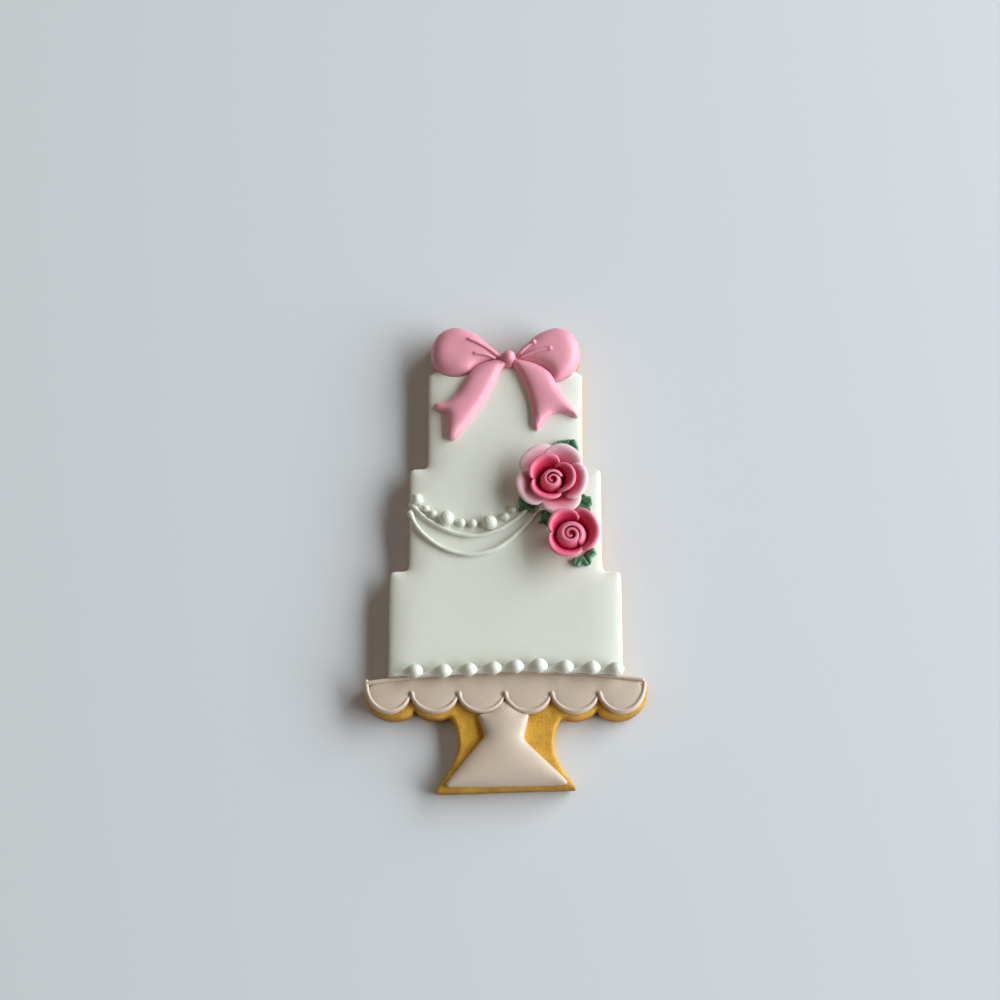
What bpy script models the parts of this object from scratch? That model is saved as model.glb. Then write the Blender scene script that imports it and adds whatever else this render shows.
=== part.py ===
"""Iced sugar cookie, cut as a three-tier wedding cake with a bow on top, standing on a cake stand.

Metres, +Z up. The cookie lies flat with its iced side up, the stand's foot towards -Y and the bow
towards +Y. The origin is at the middle of its length and width, on the surface that it lies on.
Sizes and places below are in millimetres. Places on the cookie are measured across from its middle
line and up from the foot's edge, and placed() turns them into the object's own frame.
"""

import math

import bmesh
import bpy
import numpy as np
from mathutils import Matrix, Vector, geometry

MM = 0.001
GAP = 0.1  # clearance between pieces that touch on the real cookie
LONGEST_SIDE = 9.0  # of a facet along an edge

# The biscuit
TOP_UP = 126.2  # the bow's lobes, above the foot's edge
BISCUIT_THICK = 4.5
BISCUIT_EDGE = 0.9  # rounding of the baked edge, above and below
RIM = 0.35  # bare biscuit left round the icing
FOOT_HALF = 17.5
FOOT_LEAN, FOOT_RISE = 0.3, 0.8  # the foot was cut askew: its left corner is lower, its right one higher
MIDDLE_UP = (TOP_UP - FOOT_LEAN) / 2
STEM_SIDE = ((14.9, 4.6), (12.7, 8.6), (12.1, 12.2), (12.5, 15.6), (13.7, 18.6))
PLATE_TIP, PLATE_TIP_UP = 35.6, 27.2
TIER_HALF = (29.6, 24.9, 20.4)  # half widths of the cake's tiers, lowest first
TIER_TOP = (57.6, 85.9, 112.9)
TIER_DROP = 0.2  # how much lower a tier's outer corner is than its inner one
PLATE_TOP = 29.0  # where the lowest tier stands on the plate
LOBE_RADIUS = 7.25
LOBE_AT = (12.75, TOP_UP - LOBE_RADIUS)
LOBE_LOW, LOBE_HIGH = -44.0, 128.0  # degrees, where the bow's lobe leaves the tier and turns to the notch
NOTCH_UP = 117.3

# The scalloped hem of the plate
SCALLOPS = 6
HEM_LEFT, HEM_RIGHT = -34.9, 34.5  # ends of the piped line's middle
CUSPS = (-23.7, -12.1, -0.4, 11.2, 23.0)
CUSP_UP, HEM_LOW, HEM_END_UP = 24.2, 20.0, 27.0
BISCUIT_CUSP_UP, BISCUIT_HEM_LOW = 20.9, 18.4
LINE_RADIUS = 0.65
CUSP_TRIM, END_TRIM = 12.5, 5.0  # degrees left off a stroke of the hem, to end clear of its neighbours
# The line along the plate's top is a shallow arch: its height, where it is highest, and how far it falls
PLATE_LINE_CROWN, PLATE_LINE_AT, PLATE_LINE_FALL = 30.2, 3.0, 2.5

# Icing
FLOOD = 1.4  # height of the flooded icing above the biscuit
SHOULDER, PEDESTAL_SHOULDER = 8.0, 6.0  # widths over which it rounds down to its edge
PLATE_FLOOD, PLATE_SHOULDER = 1.15, 1.0  # the stand's plate is flatter, inside its piped lines
SWAG_RADIUS = 0.5
BEAD_LEAN = 12.0  # degrees by which the piped beads' tails droop
BEAD_TAIL = 2.3  # length of a bead's tail from its middle, in radii

# Pearls along the upper swag: across, up, radius
PEARLS = (
    (-22.9, 76.4, 1.6),
    (-20.6, 73.9, 1.0),
    (-18.8, 72.3, 1.1),
    (-15.2, 71.1, 1.85),
    (-11.5, 69.9, 1.1),
    (-8.5, 69.7, 1.15),
    (-4.2, 69.9, 1.9),
    (-0.2, 71.6, 1.1),
    (1.8, 73.6, 0.9),
)
# Beads along the foot of the lowest tier: across, up, radius
BEADS = (
    (-22.3, 29.9, 1.75),
    (-15.1, 29.9, 1.75),
    (-8.7, 30.3, 1.7),
    (-2.6, 30.7, 1.7),
    (2.9, 31.1, 1.75),
    (8.7, 31.3, 1.85),
    (15.3, 31.0, 1.75),
    (22.0, 30.8, 1.75),
    (27.9, 30.5, 1.75),
)
# The two swags, as places along each from its left end
UPPER_SWAG = ((-24.0, 74.6), (-20.0, 70.7), (-15.0, 67.8), (-9.0, 66.4), (-3.0, 67.5), (1.2, 69.9), (4.1, 72.1))
LOWER_SWAG = ((-24.4, 72.2), (-20.2, 65.9), (-15.0, 62.5), (-9.0, 61.3), (-3.0, 62.7), (2.2, 66.4), (6.9, 71.3))

# The bow, as points along the edges of its parts
KNOT_AT, KNOT_RADIUS = (0.8, 116.8), 1.7
LEFT_LOOP = (
    (-0.8, 117.6),
    (-4.4, 120.8),
    (-8.2, 124.2),
    (-13.3, 125.9),
    (-17.6, 124.0),
    (-19.7, 119.2),
    (-18.9, 114.5),
    (-15.6, 112.1),
    (-11.2, 112.0),
    (-6.2, 114.1),
    (-0.8, 116.0),
)
RIGHT_LOOP = (
    (2.3, 117.8),
    (5.2, 120.9),
    (8.9, 124.2),
    (13.8, 125.8),
    (17.8, 123.9),
    (19.6, 118.9),
    (18.5, 114.1),
    (15.9, 111.4),
    (13.1, 110.3),
    (10.9, 112.2),
    (6.6, 114.5),
    (2.4, 116.1),
)
LEFT_TAIL = (
    (0.2, 116.0),
    (-1.2, 113.2),
    (-3.1, 108.8),
    (-5.6, 104.0),
    (-8.6, 99.4),
    (-12.2, 94.6),
    (-13.8, 93.2),
    (-15.2, 93.9),
    (-15.2, 97.0),
    (-15.5, 100.6),
    (-17.3, 101.4),
    (-18.9, 102.3),
    (-18.1, 103.6),
    (-15.6, 103.9),
    (-12.3, 107.2),
    (-10.2, 111.2),
    (-7.6, 114.2),
    (-3.6, 115.9),
)
RIGHT_TAIL = (
    (1.3, 116.0),
    (3.4, 112.6),
    (5.4, 108.0),
    (6.8, 102.6),
    (7.2, 97.3),
    (8.2, 95.9),
    (9.8, 98.1),
    (12.5, 100.7),
    (15.4, 100.8),
    (18.2, 99.8),
    (18.7, 100.4),
    (16.3, 103.8),
    (13.6, 108.4),
    (11.8, 112.2),
    (8.0, 114.9),
    (3.6, 116.2),
)
LOOP_HEIGHT, LOOP_SHOULDER = 2.6, 6.5
TAIL_HEIGHT, TAIL_SHOULDER = 1.7, 3.4
# Piped creases on the loops: start, end, end bead's radius
CREASES = (
    ((-2.4, 117.3), (-9.9, 121.5), 0.4),
    ((-2.7, 116.5), (-8.4, 117.3), 0.4),
    ((3.8, 117.5), (7.6, 120.3), 0.9),
    ((4.0, 116.7), (12.2, 118.3), 0.7),
)
CREASE_RADIUS = 0.35

# The roses: centre of each, and its rings of petals
LARGE_ROSE_AT, SMALL_ROSE_AT = (11.8, 80.8), (16.7, 65.5)
PETAL_THICK, HEART_THICK = 0.6, 0.45
# Petals: direction and half of the angle that each spans, in degrees; the rim's arc, as the distance
# of its centre from the rose's axis and its radius; height; how far the first and the last end stand out
LARGE_OUTER_RING = (
    (64, 39, 4.5, 5.9, 4.5, 0.6, -0.8),
    (130, 39, 4.0, 6.2, 4.3, 0.6, 0.5),
    (203, 46, 3.5, 6.0, 4.4, -0.5, 0.7),
    (282, 44, 4.0, 5.5, 3.9, -0.8, 0.7),
    (356, 41, 2.6, 6.7, 4.5, -0.8, -0.7),
)
LARGE_INNER_RING = (
    (122, 68, 1.0, 5.1, 6.1, 0.5, 0.6),
    (242, 68, 1.0, 5.0, 5.5, -0.6, 0.5),
    (2, 68, 1.2, 5.0, 6.1, -0.5, -0.6),
)
SMALL_RING = (
    (11, 73, 0.8, 5.8, 5.7, 0.4, 0.4),
    (124, 58, 1.0, 4.9, 5.6, -0.5, 0.4),
    (238, 68, 1.0, 5.2, 5.3, -0.5, -0.5),
)
OUTER_FOOT, INNER_FOOT, SMALL_FOOT = 5.1, 3.1, 3.4  # radius at which the petals of a ring stand
LARGE_HEART = dict(belly=2.3, mouth=1.75, height=6.5, turns=1.8, first=20.0)
SMALL_HEART = dict(belly=2.55, mouth=2.0, height=6.0, turns=2.0, first=-50.0)
HEART_CORE = 0.4  # radius of the innermost turn

# Leaves, as places along the edge of each
LEAF_HEIGHT, LEAF_SHOULDER = 1.1, 1.3
LEAVES = (
    (
        (13.4, 87.9), (12.5, 90.8), (13.1, 92.7), (15.6, 93.1),
        (17.9, 93.3), (18.7, 91.6), (19.1, 89.4), (16.6, 87.0),
    ),
    (
        (4.7, 78.6), (3.2, 76.8), (3.5, 74.8), (3.3, 73.2), (5.2, 73.3),
        (7.1, 72.8), (8.4, 73.4), (8.3, 74.6), (6.0, 76.4),
    ),
    (
        (9.6, 73.5), (8.8, 72.4), (9.1, 70.9), (8.1, 70.0), (9.7, 69.8),
        (10.7, 69.1), (11.9, 69.9), (12.3, 71.6), (12.0, 73.2),
    ),
    (
        (18.3, 76.3), (20.1, 78.1), (20.9, 77.2), (22.1, 77.3), (22.3, 75.4),
        (21.6, 74.4), (21.9, 72.6), (20.4, 71.7), (17.4, 73.6),
    ),
    (
        (17.0, 60.2), (17.2, 58.5), (18.5, 58.0), (19.5, 58.6), (20.8, 58.3), (21.8, 59.2),
        (22.0, 60.5), (23.2, 61.5), (22.6, 62.9), (21.3, 63.0), (19.4, 61.0),
    ),
)

SUGAR_WHITE = (0.80, 0.81, 0.76)
STAND_BEIGE = (0.55, 0.45, 0.38)
BOW_PINK = (0.62, 0.22, 0.29)
ROSE_BLUSH = (0.80, 0.38, 0.47)
ROSE_DEEP = (0.66, 0.07, 0.17)
LEAF_GREEN = (0.05, 0.20, 0.10)
BISCUIT_GOLD = (0.62, 0.32, 0.06)


def clear_scene():
    for obj in list(bpy.data.objects):
        bpy.data.objects.remove(obj, do_unlink=True)


def new_collection(name):
    made = bpy.data.collections.new(name)
    bpy.context.scene.collection.children.link(made)
    return made


def new_material(name, colour, roughness):
    made = bpy.data.materials.new(name)
    made.use_nodes = True
    shader = made.node_tree.nodes["Principled BSDF"]
    shader.inputs["Base Color"].default_value = (*colour, 1.0)
    shader.inputs["Roughness"].default_value = roughness
    shader.inputs["Metallic"].default_value = 0.0
    return made


def placed(across, up, high=0.0):
    """A place on the cookie, in millimetres, as a point of the object's frame in metres."""
    return Vector((across, up - MIDDLE_UP, high)) * MM


def add_object(name, data, material, collection):
    """Links a mesh or a curve as a named object with its material."""
    data.materials.clear()
    data.materials.append(material)
    obj = bpy.data.objects.new(name, data)
    collection.objects.link(obj)
    return obj


def mesh_from(name, bm):
    """Ends a bmesh as a smooth-shaded mesh with its faces pointing out."""
    bmesh.ops.recalc_face_normals(bm, faces=bm.faces)
    mesh = bpy.data.meshes.new(name)
    bm.to_mesh(mesh)
    bm.free()
    mesh.shade_smooth()
    mesh.set_sharp_from_angle(angle=math.radians(50))
    return mesh


# ---------------------------------------------------------------- outlines, in millimetres


def arc(centre, radius, start, end, count):
    """Points on an arc, from one angle in degrees to another, both ends included."""
    turned = np.radians(np.linspace(start, end, count))
    return [(centre[0] + radius * math.cos(a), centre[1] + radius * math.sin(a)) for a in turned]


def filleted(corner, before, after, radius, count=4):
    """The arc that rounds a corner between the directions to its two neighbours."""
    corner, before, after = Vector(corner), Vector(before), Vector(after)
    to_before = (before - corner).normalized()
    to_after = (after - corner).normalized()
    half = to_before.angle(to_after) / 2
    run = min(radius / math.tan(half), 0.45 * (before - corner).length, 0.45 * (after - corner).length)
    start, end = corner + to_before * run, corner + to_after * run
    steps = np.linspace(0.0, 1.0, count)
    # A quadratic curve stays inside the corner and meets both sides along them.
    return [tuple(start * (1 - t) ** 2 + corner * 2 * t * (1 - t) + end * t * t) for t in steps]


def rounded(points):
    """An outline from (across, up) points, kept as they are, and (across, up, radius) corners to round."""
    out = []
    for i, point in enumerate(points):
        if len(point) == 2:
            out.append(point[:2])
            continue
        before, after = points[i - 1], points[(i + 1) % len(points)]
        out += filleted(point[:2], before[:2], after[:2], point[2])
    return out


def smooth(points, steps, closed=True):
    """A Catmull-Rom curve through the points, with this many steps between two of them."""
    ends = list(points) if closed else [points[0], *points, points[-1]]
    count = len(points) if closed else len(points) - 1
    out = []
    for i in range(count):
        if closed:
            a, b, c, d = (Vector(ends[(i + k - 1) % len(ends)]) for k in range(4))
        else:
            a, b, c, d = (Vector(ends[i + k]) for k in range(4))
        for s in range(steps):
            t = s / steps
            out.append(
                tuple(
                    (2 * b + (c - a) * t + (2 * a - 5 * b + 4 * c - d) * t**2 + (3 * b - a - 3 * c + d) * t**3)
                    / 2
                )
            )
    return out if closed else [*out, tuple(points[-1])]


def grown(outline, by):
    """The outline moved out by a small distance, or in if it is negative."""
    ring = np.array(outline, float)
    along = np.roll(ring, -1, axis=0) - np.roll(ring, 1, axis=0)
    along /= np.linalg.norm(along, axis=1, keepdims=True)
    turn = 1.0 if area(outline) > 0 else -1.0
    return [tuple(p) for p in ring + turn * by * np.stack([along[:, 1], -along[:, 0]], axis=1)]


def divided(outline, longest):
    """The outline with points added along its long sides."""
    out = []
    for start, end in zip(outline, [*outline[1:], outline[0]], strict=True):
        parts = max(1, math.ceil(math.dist(start, end) / longest))
        out += [tuple(Vector(start).lerp(Vector(end), k / parts)) for k in range(parts)]
    return out


def area(outline):
    x, y = np.array(outline, float).T
    return 0.5 * float(np.sum(x * np.roll(y, -1) - y * np.roll(x, -1)))


def distance_to(outline, points):
    """How far each point is from the outline's nearest side."""
    start = np.array(outline, float)
    side = np.roll(start, -1, axis=0) - start
    to_point = np.array(points, float)[:, None, :] - start[None]
    share = np.clip((to_point * side).sum(2) / np.maximum((side**2).sum(1), 1e-12), 0, 1)
    return np.linalg.norm(to_point - share[..., None] * side, axis=2).min(axis=1)


def inside(outline, points):
    """Whether each point lies inside the outline."""
    x, y = np.array(points, float).T
    within = np.zeros(len(x), bool)
    for (ax, ay), (bx, by) in zip(outline, [*outline[1:], outline[0]], strict=True):
        if ay != by:
            within ^= ((ay > y) != (by > y)) & (x < (bx - ax) * (y - ay) / (by - ay) + ax)
    return within


# ---------------------------------------------------------------- shapes


def rise(distance, width, height):
    """Height of a rounded shoulder at a distance from its edge: a quarter ellipse, then level."""
    share = np.clip(1 - np.asarray(distance, float) / width, 0, 1)
    return height * np.sqrt(1 - share**2)


class Flood:
    """A patch of icing, or the biscuit: an outline, its base, its height and how it rounds to its edge."""

    def __init__(self, outline, base, height, shoulder, edge=0.25, under=None):
        outline = divided(outline, LONGEST_SIDE)
        self.outline = outline if area(outline) > 0 else list(reversed(outline))
        self.base, self.height, self.shoulder = base, height, shoulder
        self.edge = edge  # share of the height that stands upright at the edge
        self.under = under  # (width, height) of the rounding below the edge, if any

    def top(self, across, up):
        """Height of the upper surface at a place inside the outline."""
        away = distance_to(self.outline, [(across, up)])[0]
        return self.base + float(self.lift(away))

    def lift(self, away):
        return self.height * self.edge + rise(away, self.shoulder, self.height * (1 - self.edge))

    def inner_points(self, rings, spacing):
        """Points for the surface's facets: rings that follow the edge, and a loose grid inside them."""
        found = []
        for k in range(1, rings + 1):
            depth = self.shoulder * (1 - math.cos(math.radians(90 * k / rings)))
            ring = np.array(grown(self.outline, -depth))
            keep = inside(self.outline, ring) & (distance_to(self.outline, ring) > 0.93 * depth)
            found += [tuple(p) for p in ring[keep]]
        low, high = np.min(self.outline, axis=0), np.max(self.outline, axis=0)
        rows = np.arange(low[1], high[1], spacing * 0.87)
        grid = [
            (x + spacing / 2 * (row % 2), y)
            for row, y in enumerate(rows)
            for x in np.arange(low[0], high[0], spacing)
        ]
        keep = inside(self.outline, grid) & (distance_to(self.outline, grid) > 1.15 * self.shoulder)
        return thinned(found + [p for p, k in zip(grid, keep, strict=True) if k], spacing * 0.22)

    def solid(self, rings=2, spacing=12.0):
        """The closed bmesh: one set of facets for the top and one for the bottom, joined round the edge."""
        border = len(self.outline)
        points = [Vector(p) for p in [*self.outline, *self.inner_points(rings, spacing)]]
        places, _, facets, *_ = geometry.delaunay_2d_cdt(points, [], [list(range(border))], 1, 1e-6)
        bm = bmesh.new()
        for place in places:
            bm.verts.new(placed(*place, self.base))
        bm.verts.ensure_lookup_table()
        for facet in facets:
            bm.faces.new([bm.verts[i] for i in facet])
        away = distance_to(self.outline, [tuple(p) for p in places])
        lifted = bmesh.ops.extrude_face_region(bm, geom=list(bm.faces))
        tops = [v for v in lifted["geom"] if isinstance(v, bmesh.types.BMVert)]
        where = {(round(v.co.x, 7), round(v.co.y, 7)): i for i, v in enumerate(bm.verts) if v not in set(tops)}
        bm.verts.ensure_lookup_table()
        for vert in tops:
            i = where[(round(vert.co.x, 7), round(vert.co.y, 7))]
            vert.co.z += float(self.lift(away[i])) * MM
        if self.under:
            width, height = self.under
            for i in where.values():
                bm.verts[i].co.z += float(height - rise(away[i], width, height)) * MM
        return bm


def thinned(points, nearest):
    """The points without those that crowd an earlier one."""
    kept = []
    for point in points:
        if all((point[0] - x) ** 2 + (point[1] - y) ** 2 > nearest**2 for x, y in kept):
            kept.append(point)
    return kept


def piped_line(name, path, radius, collection, material, taper=1.0):
    """A piped thread of icing: a round line through the points, thinned to taper at its ends."""
    curve = bpy.data.curves.new(name, "CURVE")
    curve.dimensions = "3D"
    curve.bevel_depth = radius * MM
    curve.bevel_resolution = 1
    curve.use_fill_caps = True
    spline = curve.splines.new("POLY")
    spline.points.add(len(path) - 1)
    for i, (point, place) in enumerate(zip(spline.points, path, strict=True)):
        point.co = (*placed(*place), 1.0)
        point.radius = taper if i in (0, len(path) - 1) else 1.0
    return add_object(name, curve, material, collection)


def domed_ball(radius, rings=6, sectors=10, sink=0.55):
    """A ball of icing that has settled: its lower part is cut off flat, on the plane z = 0."""
    bm = bmesh.new()
    bmesh.ops.create_uvsphere(bm, u_segments=sectors, v_segments=rings, radius=radius)
    bmesh.ops.bisect_plane(
        bm,
        geom=[*bm.verts, *bm.edges, *bm.faces],
        plane_co=(0, 0, -radius * sink),
        plane_no=(0, 0, -1),
        clear_outer=True,
    )
    bmesh.ops.holes_fill(bm, edges=[e for e in bm.edges if e.is_boundary], sides=0)
    bmesh.ops.translate(bm, verts=bm.verts, vec=(0, 0, radius * sink))
    return bm


def set_down(bm, across, up, high):
    """Scales a bmesh from millimetres to metres and stands it at a place."""
    bmesh.ops.scale(bm, vec=(MM, MM, MM), verts=bm.verts)
    bmesh.ops.translate(bm, vec=placed(across, up, high), verts=bm.verts)
    return bm


# ---------------------------------------------------------------- the biscuit and the flooded icing


def scallop(number):
    """Centre, half axes and the two angles of one arc of the hem, counted from the left."""
    across = (HEM_LEFT, *CUSPS, HEM_RIGHT)
    left, right = across[number], across[number + 1]
    if 0 < number < SCALLOPS - 1:
        half, deep = (right - left) / 2, CUSP_UP - HEM_LOW
        radius = (half**2 + deep**2) / (2 * deep)
        turn = math.degrees(math.asin(half / radius))
        return (left + half, HEM_LOW + radius), (radius, radius), 270 - turn, 270 + turn
    # The two end scallops turn up all the way to the plate's tips.
    high = HEM_END_UP - HEM_LOW
    turn = math.acos((HEM_END_UP - CUSP_UP) / high)
    wide = (right - left) / (1 + math.sin(turn))
    if number == 0:
        return (left + wide, HEM_END_UP), (wide, high), 180.0, 270 + math.degrees(turn)
    return (right - wide, HEM_END_UP), (wide, high), 270 - math.degrees(turn), 360.0


def hem_arc(number, offset, count, trim=(0.0, 0.0)):
    """Points along one arc of the hem, moved out by offset, with degrees trimmed off its two ends."""
    centre, (wide, high), start, end = scallop(number)
    turned = np.radians(np.linspace(start + trim[0], end - trim[1], count))
    return [
        (centre[0] + (wide + offset) * math.cos(a), centre[1] + (high + offset) * math.sin(a)) for a in turned
    ]


def biscuit_half():
    """The biscuit's right-hand edge, from the foot up to the notch of the bow."""
    stretch = [(FOOT_HALF, 0.0, 0.4), *smooth(STEM_SIDE, 2, closed=False)]
    step = CUSPS[-1] - CUSPS[-2]
    middle = CUSPS[-1] - step / 2
    deep = BISCUIT_CUSP_UP - BISCUIT_HEM_LOW
    radius = ((step / 2) ** 2 + deep**2) / (2 * deep)
    start = 270 - math.degrees(math.asin((middle - STEM_SIDE[-1][0] - 0.7) / radius))
    end = 270 + math.degrees(math.asin(step / 2 / radius))
    stretch += arc((middle, BISCUIT_HEM_LOW + radius), radius, start, end, 7)[:-1]
    stretch.append((CUSPS[-1], BISCUIT_CUSP_UP + 0.2, 0.7))
    tip_radius = PLATE_TIP_UP - 0.9 - BISCUIT_HEM_LOW
    centre = (PLATE_TIP - tip_radius, PLATE_TIP_UP - 0.9)
    from_cusp = 270 - math.degrees(math.acos((centre[1] - BISCUIT_CUSP_UP) / tip_radius))
    stretch += arc(centre, tip_radius, from_cusp, 360.0, 12)[1:]
    stretch += [(PLATE_TIP, PLATE_TIP_UP + 0.5, 0.5), (TIER_HALF[0], PLATE_TOP, 0.8)]
    inners = (*TIER_HALF[1:], LOBE_AT[0] + LOBE_RADIUS - 1.2)
    for half, inner, top in zip(TIER_HALF, inners, TIER_TOP, strict=True):
        stretch += [(half, top - TIER_DROP, 1.2), (inner, top, 1.6)]
    stretch += arc(LOBE_AT, LOBE_RADIUS, LOBE_LOW + 8, LOBE_HIGH, 16)
    return stretch


def biscuit():
    right = biscuit_half()
    left = [(-x, y, *radius) for x, y, *radius in reversed(right)]
    right[0] = (FOOT_HALF, FOOT_RISE, 0.4)
    left[-1] = (-FOOT_HALF - FOOT_LEAN, -FOOT_LEAN, 0.4)
    outline = rounded([*right, (0.3, NOTCH_UP, 0.8), *left])
    edge = (BISCUIT_EDGE, BISCUIT_EDGE)
    upright = (BISCUIT_THICK - BISCUIT_EDGE) / BISCUIT_THICK
    return Flood(outline, 0.0, BISCUIT_THICK, BISCUIT_EDGE, edge=upright, under=edge)


def plate_line_up(across):
    """How high the line piped along the plate's top runs."""
    return PLATE_LINE_CROWN - PLATE_LINE_FALL * ((across - PLATE_LINE_AT) / HEM_RIGHT) ** 2


def arched(half, offset, count):
    """Points along the plate's line between two sides, moved up by an offset."""
    return [(x, plate_line_up(x) + offset) for x in np.linspace(-half, half, count)]


def tiers():
    """The white icing over all three tiers. Its lower edge follows the line on the plate."""
    inners = (*TIER_HALF[1:], None)
    sides = []
    for half, inner, top in zip(TIER_HALF, inners, TIER_TOP, strict=True):
        sides.append((half - RIM, top - TIER_DROP - RIM, 1.2))
        if inner:
            sides.append((inner - RIM, top - RIM, 1.6))
    # Between the bow's loops the icing reaches up to the knot.
    sides += [(LOBE_AT[0] + 5.3, TIER_TOP[2] + 0.6, 1.0), (9.0, 115.6, 1.0), (1.6, 116.6, 0.8)]
    low = arched(TIER_HALF[0] - RIM, LINE_RADIUS + GAP, 12)
    left = [(-x, y, r) for x, y, r in reversed(sides)]
    return Flood(rounded([*low, *sides, *left]), BISCUIT_THICK + GAP, FLOOD, SHOULDER)


def plate():
    """The stand's plate: icing inside the piped lines of its top and its hem."""
    clear = LINE_RADIUS + GAP
    hem = []
    for number in range(SCALLOPS):
        for across, up in hem_arc(number, -clear, 13)[1:-1]:
            nearest = min(math.hypot(across - cusp, up - CUSP_UP) for cusp in CUSPS)
            if nearest > clear + 0.5 and up < HEM_END_UP - 0.4:
                hem.append((across, up))
        if number < SCALLOPS - 1:
            hem.append((CUSPS[number], CUSP_UP + clear + 0.35, 0.5))
    high = arched(HEM_RIGHT - 1.6, -clear, 10)
    return Flood(rounded([*hem, *reversed(high)]), BISCUIT_THICK + GAP, PLATE_FLOOD, PLATE_SHOULDER, edge=0.5)


def pedestal():
    """The stand's stem and foot. Its top is scooped out by the two middle scallops."""
    clear = LINE_RADIUS + GAP
    left = [p for p in hem_arc(2, clear, 24) if -6.6 < p[0] < CUSPS[2] - 1.0][::2]
    right = [p for p in hem_arc(3, clear, 24) if CUSPS[2] + 1.0 < p[0] < 5.2][::2]
    notch = (CUSPS[2], left[-1][1] + 1.0, 0.4)
    foot = [(-15.5, RIM + 0.5, 0.8), (15.9, FOOT_RISE + 0.7, 0.9), (4.3, 12.9, 2.4)]
    top = [(5.6, right[-1][1] - 0.2, 0.3), *reversed(right), notch, *reversed(left)]
    sides = [(-6.9, left[0][1] - 0.3, 0.3), (-5.3, 13.8, 1.2)]
    return Flood(rounded([*foot, *top, *sides]), BISCUIT_THICK + GAP, FLOOD, PEDESTAL_SHOULDER)


# ---------------------------------------------------------------- roses and leaves


def petal(foot, direction, half_span, out, bend, height, first, last, columns=7, rows=3):
    """One petal as an open sheet, in millimetres round its rose's axis: a cupped lobe with a flared rim."""
    bm = bmesh.new()
    bmesh.ops.create_grid(bm, x_segments=columns, y_segments=rows, size=1.0)
    for vert in bm.verts:
        side, up = vert.co.x, (vert.co.y + 1) / 2
        up *= 1 - 0.45 * abs(side) ** 6  # round corners
        turned = math.radians(half_span) * side
        rim = out * math.cos(turned) + math.sqrt(bend**2 - (out * math.sin(turned)) ** 2)
        radius = foot + (first if side < 0 else last) * abs(side) ** 1.5 + (rim - foot) * up**1.2
        facing = math.radians(direction) + turned * (0.82 + 0.18 * up)
        level = height * (1 - 0.14 * abs(side) ** 2.4) * math.sin(up * math.pi / 2) ** 0.9
        vert.co = (radius * math.cos(facing), radius * math.sin(facing), level)
    return bm


def bud(belly, mouth, height, turns, first, steps=16):
    """The rose's heart: a petal rolled up into a ball that closes in to a mouth, as an open upright sheet."""
    bm = bmesh.new()
    last = []
    for k in range(steps + 1):
        share = k / steps  # 0 at the outer end
        facing = math.radians(first) + 2 * math.pi * turns * share
        wide = belly + (HEART_CORE - belly) * share**1.3
        narrow = mouth + (HEART_CORE - mouth) * share
        column = []
        for up in (0.0, 0.4, 0.75, 0.93, 1.0):
            upper, lower = max(up - 0.4, 0.0) / 0.6, max(0.4 - up, 0.0) / 0.4
            radius = narrow + (wide * (1 - 0.2 * lower**2) - narrow) * math.sqrt(1 - upper**2)
            level = height * up * (1 - 0.07 * share**2)
            column.append(bm.verts.new((radius * math.cos(facing), radius * math.sin(facing), level)))
        for i in range(len(last) - 1):
            bm.faces.new((last[i], column[i], column[i + 1], last[i + 1]))
        last = column
    return bm


def add_sheet(name, bm, at, thick, material, collection):
    """Gives an open sheet its thickness, half on each side, and a flat foot, and stands it at a place."""
    bmesh.ops.recalc_face_normals(bm, faces=bm.faces)
    bm.normal_update()
    for vert in bm.verts:
        vert.co -= vert.normal * (thick / 2)
    bmesh.ops.solidify(bm, geom=bm.faces, thickness=-thick)
    for vert in bm.verts:
        vert.co.z = max(vert.co.z, 0.0)
    return add_object(name, mesh_from(name, set_down(bm, *at)), material, collection)


def add_rose(name, centre, rings, heart, icing, collection, colours):
    """A piped rose: rings of petals round a rolled heart. Each petal is a piece of its own."""
    at = (*centre, icing.top(*centre) + GAP)
    for ring_name, (foot, petals) in rings.items():
        for number, values in enumerate(petals, 1):
            sheet = petal(foot, *values)
            add_sheet(f"{name}_{ring_name}_{number}", sheet, at, PETAL_THICK, colours[ring_name], collection)
    add_sheet(f"{name}_heart", bud(**heart), at, HEART_THICK, colours["heart"], collection)


def leaf(number, icing):
    """A piped leaf: a thick pad of icing with a rippled edge, part of it under a rose's petals."""
    base = icing.base + icing.height + GAP
    return Flood(smooth(LEAVES[number], 2), base, LEAF_HEIGHT, LEAF_SHOULDER).solid(rings=1, spacing=3.0)


# ---------------------------------------------------------------- putting it together


def bead(radius, tail):
    """A piped bead, in millimetres: a settled ball pulled out into a tail towards -X."""
    bm = domed_ball(radius, rings=6, sectors=10)
    for vert in bm.verts:
        if vert.co.x < 0:
            share = -vert.co.x / radius
            vert.co.y *= 1 - 0.45 * share
            vert.co.z *= 1 - 0.35 * share
            vert.co.x *= 1 + (tail / radius - 1) * share
    lean = Matrix.Rotation(math.radians(BEAD_LEAN), 3, "Z")
    bmesh.ops.rotate(bm, verts=bm.verts, cent=(0, 0, 0), matrix=lean)
    return bm


def carve(obj, outline, cutters):
    """Cuts the space that a higher piece fills, with its clearance, out of a lower one."""
    block = Flood(grown(outline, GAP), 0.0, 30.0, 1.0, edge=1.0)
    mesh = mesh_from(f"{obj.name}_cut", block.solid(rings=0, spacing=100.0))
    cutter = bpy.data.objects.new(mesh.name, mesh)
    cutter.hide_render = True
    cutter.display_type = "WIRE"
    cutters.objects.link(cutter)
    cut = obj.modifiers.new("make room", "BOOLEAN")
    cut.operation = "DIFFERENCE"
    cut.object = cutter


def surface_line(points, radius, icing):
    """Places for a piped line that follows the icing's surface."""
    return [(x, y, icing.top(x, y) + radius + GAP) for x, y in points]


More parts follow.
